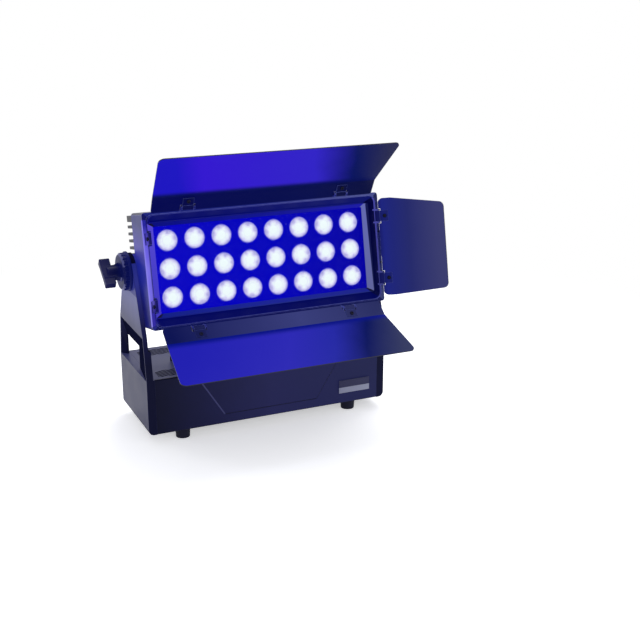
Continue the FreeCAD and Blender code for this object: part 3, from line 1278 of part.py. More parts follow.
def draw_ear(sketch, across, along_first, sign):
    """Ear from the sheet forward to its round end about the hinge axis."""
    reach, foot = -S.hinge_forward, -(S.bezel_front + S.door_sheet / 2)
    low, high = across - S.ear_radius, across + S.ear_radius
    if along_first:
        draw_outline(sketch, [(foot, low), (foot, high), (reach, high, reach, across),
                              (reach, low)])
    else:
        draw_outline(sketch, [(low, foot), (low, reach, across, reach), (high, reach),
                              (high, foot)])


def hinge_places():
    """Each hinge: its middle in head coordinates and the axis that its pin follows."""
    places = []
    for sign in (-1, 1):
        for place in (-S.hinge_spread_level, S.hinge_spread_level):
            places.append((place, S.hinge_up * sign, "x"))
        for place in (-S.hinge_spread_side, S.hinge_spread_side):
            places.append((S.hinge_out * sign, place, "z"))
    return places


def hinge_pins():
    """Pins through the ears and the clip barrels."""
    half = EAR_OUTER + S.pin_stand_out
    pins = []
    for x, z, axis in hinge_places():
        start_x = x - half if axis == "x" else x
        start_z = z - half if axis == "z" else z
        pins.append(rod("hinge_pin", S.pin_radius, half * 2, start_x, -S.hinge_forward, start_z,
                        axis))
    return keep(group("hinge_pins", pins), "hinge_pins", HEAD_PLACEMENT)


def door_frame_screws():
    """Screws that hold the door frame to the bezel."""
    x = (HEAD_HALF_WIDTH + MOUTH_HALF_WIDTH) / 2
    places = [(x * side, S.hinge_spread_side * share) for side in (-1, 1)
              for share in FRAME_SCREW_SHARES]
    screws = [rod("frame_screw", S.pin_radius, S.clip_screw_height, px, -DOOR_FRAME_FRONT, pz,
                  "-y") for px, pz in places]
    return keep(group("door_frame_screws", screws), "door_frame_screws", HEAD_PLACEMENT)


# Barn doors, drawn flat about their hinge axis: X along the hinge, Y out along the flap

def leaf(name, start, hinge_half, tip_half, hinge_corner, spread):
    """Bent sheet leaf: a narrow strip from the hinge, then the flap that widens or narrows."""
    body = new_body(name)
    lean, reach, sheet = S.leaf_bend_angle, S.strip_length, S.leaf_sheet
    fold_y, fold_z = reach * cosine(lean), reach * sine(lean)
    tip = fold_y + S.flap_length
    profile = new_sketch(body, "YZ_Plane")
    mitre = sheet * tangent(lean / 2)
    draw_outline(profile, [
        (start * cosine(lean), start * sine(lean)), (fold_y, fold_z), (tip, fold_z),
        (tip, fold_z + sheet), (fold_y - mitre, fold_z + sheet),
        (start * cosine(lean) - sheet * sine(lean), start * sine(lean) + sheet * cosine(lean))])
    widest = hinge_half if plain(hinge_half) > plain(tip_half) else tip_half
    pad(body, profile, widest * 2, both=True)
    trim = new_sketch(body, "XY_Plane")
    edge = start * cosine(lean) - sheet * sine(lean)
    clear = edge - S.overrun
    inner = hinge_half - hinge_corner
    for sign in (-1, 1):
        far = (widest + S.overrun) * sign
        side = [(hinge_half * sign, fold_y), (tip_half * sign, tip),
                (tip_half * sign, tip + S.overrun), (far, tip + S.overrun), (far, clear)]
        round_start, round_end = (hinge_half * sign, edge + hinge_corner), (inner * sign, edge)
        centre = (inner * sign, edge + hinge_corner)
        if sign > 0:
            side += [(inner, clear), round_end + centre, round_start]
        else:
            side = side[::-1] + [round_start + centre, round_end, (-inner, clear)]
        draw_outline(trim, side)
    trimmed = pocket(body, trim, S.flap_length, both=True)
    tips = round_edges(body, trimmed, S.leaf_corner, lambda edge: runs_along(edge, 2)
                       and near(edge.CenterOfMass.y, tip))
    body.Tip = tips
    notches = new_sketch(body, "XY_Plane")
    notch_half = EAR_OUTER + S.notch_gap
    for place in (-spread, spread):
        draw_rectangle(notches, place - notch_half, clear, place + notch_half,
                       S.leaf_notch * cosine(lean))
    pocket(body, notches, S.flap_length, both=True)
    holes = group(name + "_holes", [screw_shank(place, S.clip_screw_radius)
                                    for place in (-spread, spread)])
    return cut(name, body, holes)


def leaf_clips(name, spread):
    """Hinge clips: a barrel round the pin with a tab that lies on the leaf's inner side."""
    clips = []
    tab_turn = Rotation(Vector(1, 0, 0), S.leaf_bend_angle.number)
    for place in (-spread, spread):
        barrel = rod("clip_barrel", S.barrel_radius, S.clip_width, place - S.clip_width / 2, ZERO,
                     ZERO, "x")
        tab = DOCUMENT.addObject("Part::Box", "clip_tab")
        tab.setExpression("Length", S.clip_width.formula)
        tab.setExpression("Width", S.clip_length.formula)
        tab.setExpression("Height", S.clip_sheet.formula)
        tab.Placement = Placement(Vector(), tab_turn)
        tab.setExpression("Placement.Base.x", (place - S.clip_width / 2).formula)
        tab.setExpression("Placement.Base.y", (S.clip_sheet * sine(S.leaf_bend_angle)).formula)
        tab.setExpression("Placement.Base.z", (-(S.clip_sheet * cosine(S.leaf_bend_angle))).formula)
        solid = fuse("clip_solid", barrel, tab)
        bore = rod("clip_bore", S.pin_radius + S.running_gap, S.clip_width + S.overrun * 2,
                   place - S.clip_width / 2 - S.overrun, ZERO, ZERO, "x")
        hole = screw_shank(place, S.clip_screw_radius)
        clips.append(cut("clip", solid, fuse("clip_cuts", bore, hole)))
    return group(name, clips)


def screw_shank(place, radius):
    """Cylinder across the strip at a clip's screw, long enough for clip and leaf."""
    across = Rotation(Vector(1, 0, 0), S.leaf_bend_angle.number)
    shank = DOCUMENT.addObject("Part::Cylinder", "clip_shank")
    shank.setExpression("Radius", radius.formula)
    shank.setExpression("Height", (S.clip_sheet + S.leaf_sheet).formula)
    lift = S.clip_sheet
    shank.Placement = Placement(Vector(), across)
    shank.setExpression("Placement.Base.x", place.formula)
    shank.setExpression("Placement.Base.y", (S.leaf_screw_place * cosine(S.leaf_bend_angle)
                                             + lift * sine(S.leaf_bend_angle)).formula)
    shank.setExpression("Placement.Base.z", (S.leaf_screw_place * sine(S.leaf_bend_angle)
                                             - lift * cosine(S.leaf_bend_angle)).formula)
    return shank


def clip_screws(name, spread):
    """Pan screws through clip and leaf, with their heads on the inner side."""
    screws = []
    across = Rotation(Vector(1, 0, 0), S.leaf_bend_angle.number + HALF_TURN)
    for place in (-spread, spread):
        head = DOCUMENT.addObject("Part::Cone", "clip_screw_head")
        head.setExpression("Radius1", S.clip_screw_head.formula)
        head.setExpression("Radius2", S.clip_screw_top.formula)
        head.setExpression("Height", S.clip_screw_height.formula)
        head.Placement = Placement(Vector(), across)
        head.setExpression("Placement.Base.x", place.formula)
        head.setExpression("Placement.Base.y", (S.leaf_screw_place * cosine(S.leaf_bend_angle)
                                                + S.clip_sheet * sine(S.leaf_bend_angle)).formula)
        head.setExpression("Placement.Base.z", (S.leaf_screw_place * sine(S.leaf_bend_angle)
                                                - S.clip_sheet * cosine(S.leaf_bend_angle)).formula)
        screws.append(fuse("clip_screw", head, screw_shank(place, S.clip_screw_radius)))
    return group(name, screws)


def door_placement(outward, along, opened, hinge):
    """Placement of a leaf: its flap leans outwards from straight ahead by the opened angle."""
    turn = math.radians(opened.number)
    ahead = Vector(0, -1, 0)
    flap = ahead * math.cos(turn) + outward * math.sin(turn)
    back = outward * math.cos(turn) - ahead * math.sin(turn)
    return HEAD_PLACEMENT.multiply(Placement(hinge, Rotation(along, flap, back, "XYZ")))


def barn_doors():
    """Four leaves with their clips and screws, hung on the door frame's hinges."""
    forward = -S.hinge_forward.number
    up, out = S.hinge_up.number, S.hinge_out.number
    doors = [
        ("top", Vector(0, 0, 1), Vector(-1, 0, 0), S.top_door_angle, Vector(0, forward, up)),
        ("bottom", Vector(0, 0, -1), Vector(1, 0, 0), S.bottom_door_angle,
         Vector(0, forward, -up)),
        ("left", Vector(-1, 0, 0), Vector(0, 0, -1), S.left_door_angle, Vector(-out, forward, 0)),
        ("right", Vector(1, 0, 0), Vector(0, 0, 1), S.right_door_angle, Vector(out, forward, 0))]
    for side, outward, along, opened, hinge in doors:
        level = side in ("top", "bottom")
        spread = S.hinge_spread_level if level else S.hinge_spread_side
        hinge_half = S.level_leaf_hinge_half if level else S.side_leaf_hinge_half
        tip_half = S.level_leaf_tip_half if level else S.side_leaf_tip_half
        corner = S.leaf_hinge_corner if level else S.leaf_corner
        start = -S.level_leaf_back if level else S.side_leaf_start
        place = door_placement(outward, along, opened, hinge)
        door = leaf(side + "_door", start, hinge_half, tip_half, corner, spread)
        keep(door, side + "_door", place)
        keep(leaf_clips(side + "_clips", spread), side + "_door_clips", place)
        keep(clip_screws(side + "_screws", spread), side + "_clip_screws", place)


def build():
    """Makes every piece in the order in which the light is put together."""
    base_housing()
    base_top_cover()
    rear_panel()
    left = left_arm_frame()
    keep(mirrored("right_arm_frame", left), "right_arm_frame")
    rubber_feet()
    foot_screws()
    rear_panel_screws()
    power_supply()
    driver_board()
    display_pieces()
    buttons()
    power_socket("power_inlet", S.power_in_x)
    power_socket("power_outlet", S.power_out_x)
    data_socket("data_inlet", S.data_in_x, True)
    data_socket("data_outlet", S.data_out_x, False)
    fuse_pieces()
    keep(cable_gland("base_gland", S.base_gland_x, S.base_gland_y, BASE_TOP, "z"),
         "base_cable_gland")
    safety_eye()
    quarter_turn_sockets()
    pivot_bush()
    tilt_knob("left_tilt_knob", S.left_knob_angle, -1)
    tilt_knob("right_tilt_knob", S.right_knob_angle, 1)
    head_housing()
    heatsink()
    led_board()
    led_emitters()
    lens_array()
    lens_plate()
    front_glass()
    glass_seal()
    glass_retainer()
    front_bezel()
    bezel_screws()
    pivot_inserts()
    keep(cable_gland("head_gland", S.head_gland_x, S.head_gland_y, -HEAD_HALF_HEIGHT, "-z"),
         "head_cable_gland", HEAD_PLACEMENT)
    barn_door_frame()
    door_frame_screws()
    hinge_pins()
    barn_doors()
    DOCUMENT.recompute()


def check():
    """Stops when a feature failed or a piece is empty or broken."""
    for item in DOCUMENT.Objects:
        if "Invalid" in item.State or "Error" in item.State:
            raise RuntimeError("%s (%s) is %s" % (item.Name, item.Label, item.State))
    for label, item in PARTS.items():
        if item.Shape.isNull() or not item.Shape.isValid():
            raise RuntimeError("%s has no valid shape" % label)


def export():
    """Writes each piece to its own file."""
    os.makedirs("parts", exist_ok=True)
    for label, item in PARTS.items():
        item.Shape.exportStep("parts/%s.step" % label)
        print("%-22s solids %2d  volume %10.1f" % (label, len(item.Shape.Solids),
                                                   item.Shape.Volume))


build()
check()
export()
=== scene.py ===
"""The looks of an LED flood light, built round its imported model."""

import json
import logging
import math
from dataclasses import dataclass, field, replace
from enum import Enum
from typing import Callable, Sequence

import bmesh
import bpy
from mathutils import Matrix, Vector

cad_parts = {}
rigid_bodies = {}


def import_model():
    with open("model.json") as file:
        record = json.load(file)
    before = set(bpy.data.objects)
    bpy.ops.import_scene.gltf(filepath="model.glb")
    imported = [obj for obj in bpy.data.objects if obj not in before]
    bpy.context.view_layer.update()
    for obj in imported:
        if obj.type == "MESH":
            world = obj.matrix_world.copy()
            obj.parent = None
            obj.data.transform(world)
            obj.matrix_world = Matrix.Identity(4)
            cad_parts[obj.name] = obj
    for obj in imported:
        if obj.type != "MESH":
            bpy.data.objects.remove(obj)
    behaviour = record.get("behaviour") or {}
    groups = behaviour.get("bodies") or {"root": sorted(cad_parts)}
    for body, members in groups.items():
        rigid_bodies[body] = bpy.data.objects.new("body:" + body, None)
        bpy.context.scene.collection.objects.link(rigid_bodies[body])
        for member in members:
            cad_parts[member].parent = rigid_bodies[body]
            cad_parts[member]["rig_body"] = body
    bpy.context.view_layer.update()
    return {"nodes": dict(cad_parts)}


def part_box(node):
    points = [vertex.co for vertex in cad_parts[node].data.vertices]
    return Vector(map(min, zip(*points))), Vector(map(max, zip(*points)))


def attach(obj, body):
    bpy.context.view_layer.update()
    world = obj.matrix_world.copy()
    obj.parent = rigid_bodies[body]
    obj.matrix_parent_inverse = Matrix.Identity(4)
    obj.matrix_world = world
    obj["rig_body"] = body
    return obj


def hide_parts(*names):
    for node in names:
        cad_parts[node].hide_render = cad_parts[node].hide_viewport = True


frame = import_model()

LOG = logging.getLogger("flood_light")
MM = 0.001
MERGE_MM = 0.002
CUT_MM = 0.001
DRIFT_ENDS = (0.34, 0.66)
GLOSS_DRIFT = 0.12
RELIEF_STRENGTH = 0.6
HIGHLIGHT_BREAK_MM = 14.0
GLASS_WAVE_MM = 90.0
PEBBLE_MM = 2.2
ACROSS = (1.0, 0.0, 0.0)
UP = (0.0, 0.0, 1.0)


class Side(Enum):
    """The four sides of the lamp head, as seen from the front."""

    TOP = "top"
    BOTTOM = "bottom"
    LEFT = "left"
    RIGHT = "right"


class Grain(Enum):
    """How a surface was made, which decides its fine relief."""

    ORANGE_PEEL = "powder coat that has flowed out"
    SAND = "sand-like skin of a pressure casting"
    SPARK = "spark-eroded texture of a moulding tool"
    DRAWN = "fine lines along one way, from rolling or extruding"
    SMOOTH = "polished, with only a trace of waviness"


def srgb(code: str) -> tuple[float, float, float, float]:
    """Turns an sRGB hex colour to a linear colour with full alpha.

    Args:
        code: Six hex digits after a hash sign.

    Returns:
        Red, green, blue and alpha.
    """
    parts = [int(code[i : i + 2], 16) / 255 for i in (1, 3, 5)]
    linear = [p / 12.92 if p <= 0.04045 else ((p + 0.055) / 1.055) ** 2.4 for p in parts]
    return (linear[0], linear[1], linear[2], 1.0)


def add_node(
    tree: bpy.types.NodeTree,
    kind: str,
    inputs: dict | None = None,
    stops: Sequence[tuple[float, str]] = (),
    **settings: object,
) -> bpy.types.Node:
    """Adds one node with its settings, its inputs and, on a ramp, its stops.

    Args:
        tree: The tree that gets the node.
        kind: The node's type name.
        inputs: Values or output sockets, by input name or number.
        stops: Places from 0 to 1 with their hex colours.
        **settings: Properties of the node itself.

    Returns:
        The new node.
    """
    node = tree.nodes.new(kind)
    for name, value in settings.items():
        setattr(node, name, value)
    for key, value in (inputs or {}).items():
        if isinstance(value, bpy.types.NodeSocket):
            tree.links.new(value, node.inputs[key])
        else:
            node.inputs[key].default_value = value
    for number, (place, code) in enumerate(stops):
        elements = node.color_ramp.elements
        stop = elements[number] if number < 2 else elements.new(place)
        stop.position = place
        stop.color = srgb(code)
    return node


def share_along(
    tree: bpy.types.NodeTree,
    place: bpy.types.NodeSocket,
    way: tuple[float, float, float],
    ends_mm: tuple[float, float],
    **settings: object,
) -> bpy.types.NodeSocket:
    """The share of a run along one way that each place has behind it.

    Args:
        tree: The material's tree.
        place: Object coordinates.
        way: Direction of the run.
        ends_mm: Where the run starts and ends along that way.
        **settings: Properties of the node that makes the share.

    Returns:
        The socket of the share, from 0 to 1.
    """
    along = add_node(tree, "ShaderNodeVectorMath", {0: place, 1: way}, operation="DOT_PRODUCT")
    ends = {"From Min": ends_mm[0] * MM, "From Max": ends_mm[1] * MM}
    inputs = {"Value": along.outputs["Value"], **ends}
    return add_node(tree, "ShaderNodeMapRange", inputs, **settings).outputs["Result"]


def node_material(
    name: str, build: Callable[[bpy.types.NodeTree, bpy.types.Node], None]
) -> bpy.types.Material:
    """The node material with that name, built when it is first asked for.

    Args:
        name: Name of the material.
        build: Adds the nodes to its tree, given the tree and its shader.

    Returns:
        The material.
    """
    made = bpy.data.materials.get(name)
    if not made:
        made = bpy.data.materials.new(name)
        made.use_nodes = True
        build(made.node_tree, made.node_tree.nodes["Principled BSDF"])
    return made


@dataclass(frozen=True)
class Fold:
    """Shade beside a fold of the sheet, where the lenses reach it least.

    Attributes:
        way: Direction away from the fold, in the row frame.
        start_mm: Where the fold lies along that direction.
        reach_mm: How far the shade reaches.
        code: Hex colour at the fold.
    """

    way: tuple[float, float, float]
    start_mm: float
    reach_mm: float
    code: str


@dataclass(frozen=True)
class Spill:
    """Light that the lenses throw on a coat, as a run of colours along one way.

    Attributes:
        along: Direction of the run, in the row frame.
        start_mm: Where the run starts along that direction.
        end_mm: Where the run ends.
        stops: Shares of the run with the colour that the coat gives back there.
        strength: Strength of that light.
        fold: Shade beside a fold, or none.
    """

    along: tuple[float, float, float]
    start_mm: float
    end_mm: float
    stops: tuple[tuple[float, str], ...]
    strength: float = 1.0
    fold: Fold | None = None


@dataclass(frozen=True)
class Finish:
    """A painted, moulded, cast or plated skin.

    Attributes:
        name: The real material and how its surface was made.
        colour: Hex colour of the skin.
        patch: Hex colour that it drifts to in broad patches.
        roughness: Middle roughness.
        grain: How the surface was made.
        grain_mm: Spacing of the fine relief.
        depth_mm: Depth of the fine relief.
        patch_mm: Size of the broad patches.
        metallic: Share of bare metal.
        specular: Level of the clear reflection.
        edge_highlight: Hex colour of the painted highlight on rounded edges, or none.
        edge_highlight_glow: Share of light from the lenses that the painted edge highlight gives
            off as glow.
        spill: Light of the lenses on it, or none.
    """

    name: str
    colour: str
    patch: str
    roughness: float
    grain: Grain
    grain_mm: float = 1.2
    depth_mm: float = 0.02
    patch_mm: float = 60.0
    metallic: float = 0.0
    specular: float = 0.5
    edge_highlight: str | None = None
    edge_highlight_glow: float = 0.0
    spill: Spill | None = None

    def material(self, edge_lit: bool = False) -> bpy.types.Material:
        """The node material.

        Args:
            edge_lit: Whether it is for the rounded edges, which take the painted highlight.

        Returns:
            The material.
        """
        name = f"{self.name}_at_edges" if edge_lit else self.name
        return node_material(name, lambda tree, skin: self._build(tree, skin, edge_lit))

    def _build(self, tree: bpy.types.NodeTree, skin: bpy.types.Node, edge_lit: bool) -> None:
        """Adds the skin's colour, relief, gloss and light.

        Args:
            tree: The material's tree.
            skin: The shader.
            edge_lit: Whether the skin takes the painted highlight of rounded edges.
        """
        skin.inputs["Metallic"].default_value = self.metallic
        if not self.metallic:
            skin.inputs["Specular IOR Level"].default_value = self.specular
        place = add_node(tree, "ShaderNodeTexCoord").outputs["Object"]
        broad = {"Vector": place, "Scale": 1 / (self.patch_mm * MM), "Detail": 4.0}
        drift = add_node(tree, "ShaderNodeTexNoise", {**broad, "Roughness": 0.55}).outputs["Fac"]
        stops = tuple(zip(DRIFT_ENDS, (self.colour, self.patch)))
        colour = add_node(tree, "ShaderNodeValToRGB", {"Fac": drift}, stops).outputs["Color"]
        # Rounded edges get the painted highlight colour, and glow with it by the given share.
        if edge_lit:
            colour = self._painted_highlight(tree, place, colour)
            skin.inputs["Emission Color"].default_value = srgb(self.edge_highlight)
            skin.inputs["Emission Strength"].default_value = self.edge_highlight_glow
        tree.links.new(colour, skin.inputs["Base Color"])
        relief = {"Height": self._relief(tree, place), "Distance": self.depth_mm * MM}
        bump = add_node(tree, "ShaderNodeBump", {**relief, "Strength": RELIEF_STRENGTH})
        tree.links.new(bump.outputs["Normal"], skin.inputs["Normal"])
        taken = {"Value": drift, "From Min": 0.3, "From Max": 0.7}
        low, high = self.roughness * (1 - GLOSS_DRIFT), self.roughness * (1 + GLOSS_DRIFT)
        given = {"To Min": low, "To Max": min(1.0, high)}
        gloss = add_node(tree, "ShaderNodeMapRange", {**taken, **given})
        tree.links.new(gloss.outputs["Result"], skin.inputs["Roughness"])
        if self.spill and not (edge_lit and self.edge_highlight_glow):
            tree.links.new(self._light(tree, place, drift), skin.inputs["Emission Color"])
            skin.inputs["Emission Strength"].default_value = self.spill.strength

    def _relief(
        self, tree: bpy.types.NodeTree, place: bpy.types.NodeSocket
    ) -> bpy.types.NodeSocket:
        """Adds the fine relief that the way of making leaves.

        Args:
            tree: The material's tree.
            place: Object coordinates.

        Returns:
            The socket of the relief's height.
        """
        scale = 1 / (self.grain_mm * MM)
        if self.grain is Grain.SPARK:
            cells = add_node(tree, "ShaderNodeTexVoronoi", {"Vector": place, "Scale": scale})
            return cells.outputs["Distance"]
        if self.grain is Grain.DRAWN:
            drawn = {"Vector": place, "Scale": (scale * 0.03, scale, scale)}
            turned = add_node(tree, "ShaderNodeMapping", drawn).outputs["Vector"]
            lines = add_node(tree, "ShaderNodeTexNoise", {"Vector": turned, "Scale": 1.0})
            return lines.outputs["Fac"]
        detail = {Grain.ORANGE_PEEL: 1.5, Grain.SAND: 5.0, Grain.SMOOTH: 0.0}[self.grain]
        peel = {"Vector": place, "Scale": scale, "Detail": detail}
        return add_node(tree, "ShaderNodeTexNoise", peel).outputs["Fac"]

    def _painted_highlight(
        self,
        tree: bpy.types.NodeTree,
        place: bpy.types.NodeSocket,
        colour: bpy.types.NodeSocket,
    ) -> bpy.types.NodeSocket:
        """Adds the painted highlight of rounded edges, broken up along its run.

        Args:
            tree: The material's tree.
            place: Object coordinates.
            colour: The colour of the skin without the highlight.

        Returns:
            The socket of the mixed colour.
        """
        breaks = {"Vector": place, "Scale": 1 / (HIGHLIGHT_BREAK_MM * MM), "Detail": 3.0}
        broken = add_node(tree, "ShaderNodeTexNoise", breaks).outputs["Fac"]
        ends = {"Value": broken, "From Min": 0.35, "From Max": 0.65, "To Min": 0.3}
        share = add_node(tree, "ShaderNodeMapRange", ends).outputs["Result"]
        # A mixing node's sockets 0, 6 and 7 are the share and the two colours.
        both = {0: share, 6: colour, 7: srgb(self.edge_highlight)}
        return add_node(tree, "ShaderNodeMix", both, data_type="RGBA").outputs[2]

    def _light(
        self, tree: bpy.types.NodeTree, place: bpy.types.NodeSocket, drift: bpy.types.NodeSocket
    ) -> bpy.types.NodeSocket:
        """Adds the light of the lenses on the skin.

        Args:
            tree: The material's tree.
            place: Object coordinates.
            drift: A broad noise that softens the run.

        Returns:
            The socket of the light's colour.
        """
        run, fold = self.spill, self.spill.fold
        share = share_along(tree, place, run.along, (run.start_mm, run.end_mm))
        softened = {0: drift, 1: 0.06, 2: -0.03}
        soft = add_node(tree, "ShaderNodeMath", softened, operation="MULTIPLY_ADD")
        moved = {0: share, 1: soft.outputs["Value"]}
        place_in_run = add_node(tree, "ShaderNodeMath", moved, operation="ADD").outputs["Value"]
        shown = add_node(tree, "ShaderNodeValToRGB", {"Fac": place_in_run}, run.stops)
        if not fold:
            return shown.outputs["Color"]
        ends = (fold.start_mm, fold.start_mm + fold.reach_mm)
        away = share_along(tree, place, fold.way, ends, interpolation_type="SMOOTHSTEP")
        both = {0: away, 6: srgb(fold.code), 7: shown.outputs["Color"]}
        return add_node(tree, "ShaderNodeMix", both, data_type="RGBA").outputs[2]


@dataclass(frozen=True)
class GlassFinish:
    """Clear float glass, of which only a faint sheen shows."""

    name: str = "clear_float_glass"
    opacity: float = 0.02

    def material(self) -> bpy.types.Material:
        """The node material."""
        return node_material(self.name, self._build)

    def _build(self, tree: bpy.types.NodeTree, skin: bpy.types.Node) -> None:
        """Adds the sheen, which a slow wave moves as on drawn glass."""
        place = add_node(tree, "ShaderNodeTexCoord").outputs["Object"]
        size = {"Vector": place, "Scale": 1 / (GLASS_WAVE_MM * MM)}
        wave = add_node(tree, "ShaderNodeTexNoise", size)
        ends = {"Value": wave.outputs["Fac"], "To Min": 0.04, "To Max": 0.1}
        rough = add_node(tree, "ShaderNodeMapRange", ends)
        tree.links.new(rough.outputs["Result"], skin.inputs["Roughness"])
        skin.inputs["Base Color"].default_value = srgb("#04050C")
        skin.inputs["Alpha"].default_value = self.opacity


@dataclass(frozen=True)
class LensFinish:
    """Moulded acrylic lens lit from behind: white core, greyer pebbled outer ring."""

    name: str = "moulded_acrylic_lit"
    stops: tuple[tuple[float, str], ...] = (
        (0.0, "#1410C4"),
        (0.2, "#7A72D6"),
        (0.42, "#A9A6DE"),
        (0.66, "#DAD9F8"),
        (0.9, "#EFFCFC"),
    )

    def material(self) -> bpy.types.Material:
        """The node material."""
        return node_material(self.name, self._build)

    def _build(self, tree: bpy.types.NodeTree, skin: bpy.types.Node) -> None:
        """Adds the lens's light from the tone on its points and from its pebbles."""
        tone = add_node(tree, "ShaderNodeAttribute", attribute_name="tone").outputs["Fac"]
        place = add_node(tree, "ShaderNodeTexCoord").outputs["Object"]
        size = {"Vector": place, "Scale": 1 / (PEBBLE_MM * MM)}
        pebble = add_node(tree, "ShaderNodeTexVoronoi", size)
        darker = {0: pebble.outputs["Distance"], 1: -0.2, 2: tone}
        mixed = add_node(tree, "ShaderNodeMath", darker, operation="MULTIPLY_ADD")
        shown = add_node(tree, "ShaderNodeValToRGB", {"Fac": mixed.outputs["Value"]}, self.stops)
        tree.links.new(shown.outputs["Color"], skin.inputs["Emission Color"])
        skin.inputs["Emission Strength"].default_value = 1.0
        skin.inputs["Base Color"].default_value = srgb("#20203A")
        skin.inputs["Roughness"].default_value = 0.2
        skin.inputs["Specular IOR Level"].default_value = 0.2


# Light on the leaves: bright over the lenses, dark past their end, grey where the room takes over.
TOP_RUN = (
    (0.1, "#1A10BF"), (0.2, "#3212CE"), (0.67, "#2F1FC4"), (0.85, "#000E58"), (1.0, "#1E2146")
)
BOTTOM_RUN = (
    (0.1, "#1F1DAE"), (0.5, "#2B27B2"), (0.7, "#2125A1"), (0.84, "#000E58"), (1.0, "#30365A")
)
LEFT_RUN = (
    (0.05, "#322A9C"), (0.2, "#6F64DE"), (0.5, "#766DE0"), (0.82, "#5F53DA"), (0.97, "#252397")
)
RIGHT_RUN = ((0.0, "#10155E"), (0.1, "#1A227B"), (0.5, "#242968"), (0.92, "#3A3C6C"))

BASE_HALF_MM = 176.0
# Polyester powder coat on steel sheet: satin black with a blue cast, faint orange peel. Its lighter
# edge colour, like that of the finishes below, is a painted highlight on rounded edges.
PAINT = Finish(
    "black_powder_coat", "#080A2C", "#0C0E36", 0.4, Grain.ORANGE_PEEL, 1.6, specular=0.14,
    edge_highlight="#34365C",
)
# The same coat on the base's front, with painted light from the white ground before it: darkest at
# the left end, brighter from the middle on.
FRONT_PAINT_LIT = Finish(
    "black_powder_coat_at_front_lit", "#080A26", "#0B0D2C", 0.42, Grain.ORANGE_PEEL, 1.6,
    specular=0.08,
    spill=Spill(
        ACROSS, -BASE_HALF_MM, BASE_HALF_MM, ((0.0, "#05060F"), (0.5, "#1F2046"), (1.0, "#1C1F42"))
    ),
)
# The same coat on the base's top, and on faces that look up elsewhere: it mirrors the pale room,
# and blue light from above is painted on it.
PAINT_LIT_FROM_ABOVE = Finish(
    "black_powder_coat_lit_from_above", "#101230", "#14163A", 0.45, Grain.ORANGE_PEEL, 1.6,
    specular=0.24, edge_highlight="#5A5C7C",
    spill=Spill(ACROSS, -BASE_HALF_MM, BASE_HALF_MM, ((0.0, "#282A4C"), (1.0, "#202244"))),
)
# Painted aluminium pressure casting: the same black over a sand-like skin.
ARM_CAST = Finish(
    "painted_arm_casting", "#16183A", "#1C1E42", 0.45, Grain.SAND, 1.1, specular=0.004,
    edge_highlight="#3C3F6C",
)
# The walls of the hand-hold window that stand nearly upright get painted shade: a darker copy of
# the casting, without reflection.
ARM_INNER_SHADED = replace(
    ARM_CAST, name="painted_arm_casting_inside_shaded", colour="#0E1028", patch="#12142E", specular=0.0,
    edge_highlight=None,
)
# The arm's flat outer side mirrors the pale room; the blue light of the head above is painted on
# it, brighter towards the top.
ARM_SIDE_LIT = Finish(
    "painted_arm_casting_side_lit", "#0E102C", "#141634", 0.4, Grain.SAND, 1.1, specular=0.11,
    spill=Spill(
        UP, 90, 235, ((0.0, "#14142E"), (0.5, "#1A1B40"), (0.78, "#4A4D7C"), (1.0, "#40447C"))
    ),
)
# The arm's front edge, beside the lit mouth of the head, with its blue light painted on, brighter
# upwards. On the outer side beside the knob, its darker run and fainter reflection are painted
# shade.
ARM_FRONT_LIGHT_AND_SHADE = Finish(
    "painted_arm_casting_front_lit_and_shaded", "#080A22", "#0B0D28", 0.42, Grain.SAND, 1.1, specular=0.06,
    spill=Spill(
        UP, 120, 260,
        (
            (0.0, "#05061A"), (0.4, "#161640"), (0.58, "#222462"), (0.78, "#2C3082"),
            (1.0, "#1E267C"),
        ),
    ),
)
# The head's casting, in the same paint, made bluer as painted light from the lit mouth beside it.
HEAD_CAST = Finish(
    "painted_head_casting", "#0A0B36", "#0F1040", 0.4, Grain.SAND, 1.1, specular=0.2,
    edge_highlight="#3C3E8C",
)
# Folded sheet of the door frame: its thin lip has a bright painted highlight all round, which
# glows.
FRAME_PAINT = replace(
    HEAD_CAST, name="frame_powder_coat", grain=Grain.ORANGE_PEEL, edge_highlight="#6C70BC", edge_highlight_glow=0.8
)
# The head's outer sides, with the light of the lit doors beside them painted on.
HEAD_SIDE_LIT = replace(
    HEAD_CAST, name="painted_head_casting_side_lit", specular=0.11, edge_highlight=None,
    spill=Spill(
        UP, 200, 316,
        (
            (0.0, "#14165C"), (0.3, "#182080"), (0.5, "#1A2288"), (0.72, "#3C3690"),
            (1.0, "#181E5C"),
        ),
    ),
)
# Black anodised aluminium fins: fine lines from the extrusion.
FINS = Finish(
    "black_anodised_aluminium", "#0B0C1C", "#101226", 0.38, Grain.DRAWN, 0.7, specular=0.15,
    edge_highlight="#3A3C60",
)
# Sheet leaves: matt black powder coat, seen dark from outside.
LEAF = Finish(
    "leaf_powder_coat", "#0D0F26", "#121430", 0.42, Grain.ORANGE_PEEL, 1.4, specular=0.3,
    edge_highlight="#20234E",
)
# Pressed clips: the leaf's own coat, with a faintly glowing painted highlight along the edges.
CLIP = Finish(
    "clip_powder_coat", "#060826", "#0A0C2E", 0.45, Grain.ORANGE_PEEL, 1.4, 0.01, specular=0.02,
    edge_highlight="#5560B0", edge_highlight_glow=0.25,
)
# Moulded nylon knobs: spark-eroded skin, with the blue light of the head beside it painted on.
KNOB = Finish(
    "moulded_nylon", "#06082A", "#0A0C34", 0.42, Grain.SPARK, 0.9, 0.01, specular=0.06,
    edge_highlight="#3C4290",
    spill=Spill(ACROSS, -225, -190, ((0.0, "#16163C"), (0.5, "#040732"), (1.0, "#050C4C"))),
)
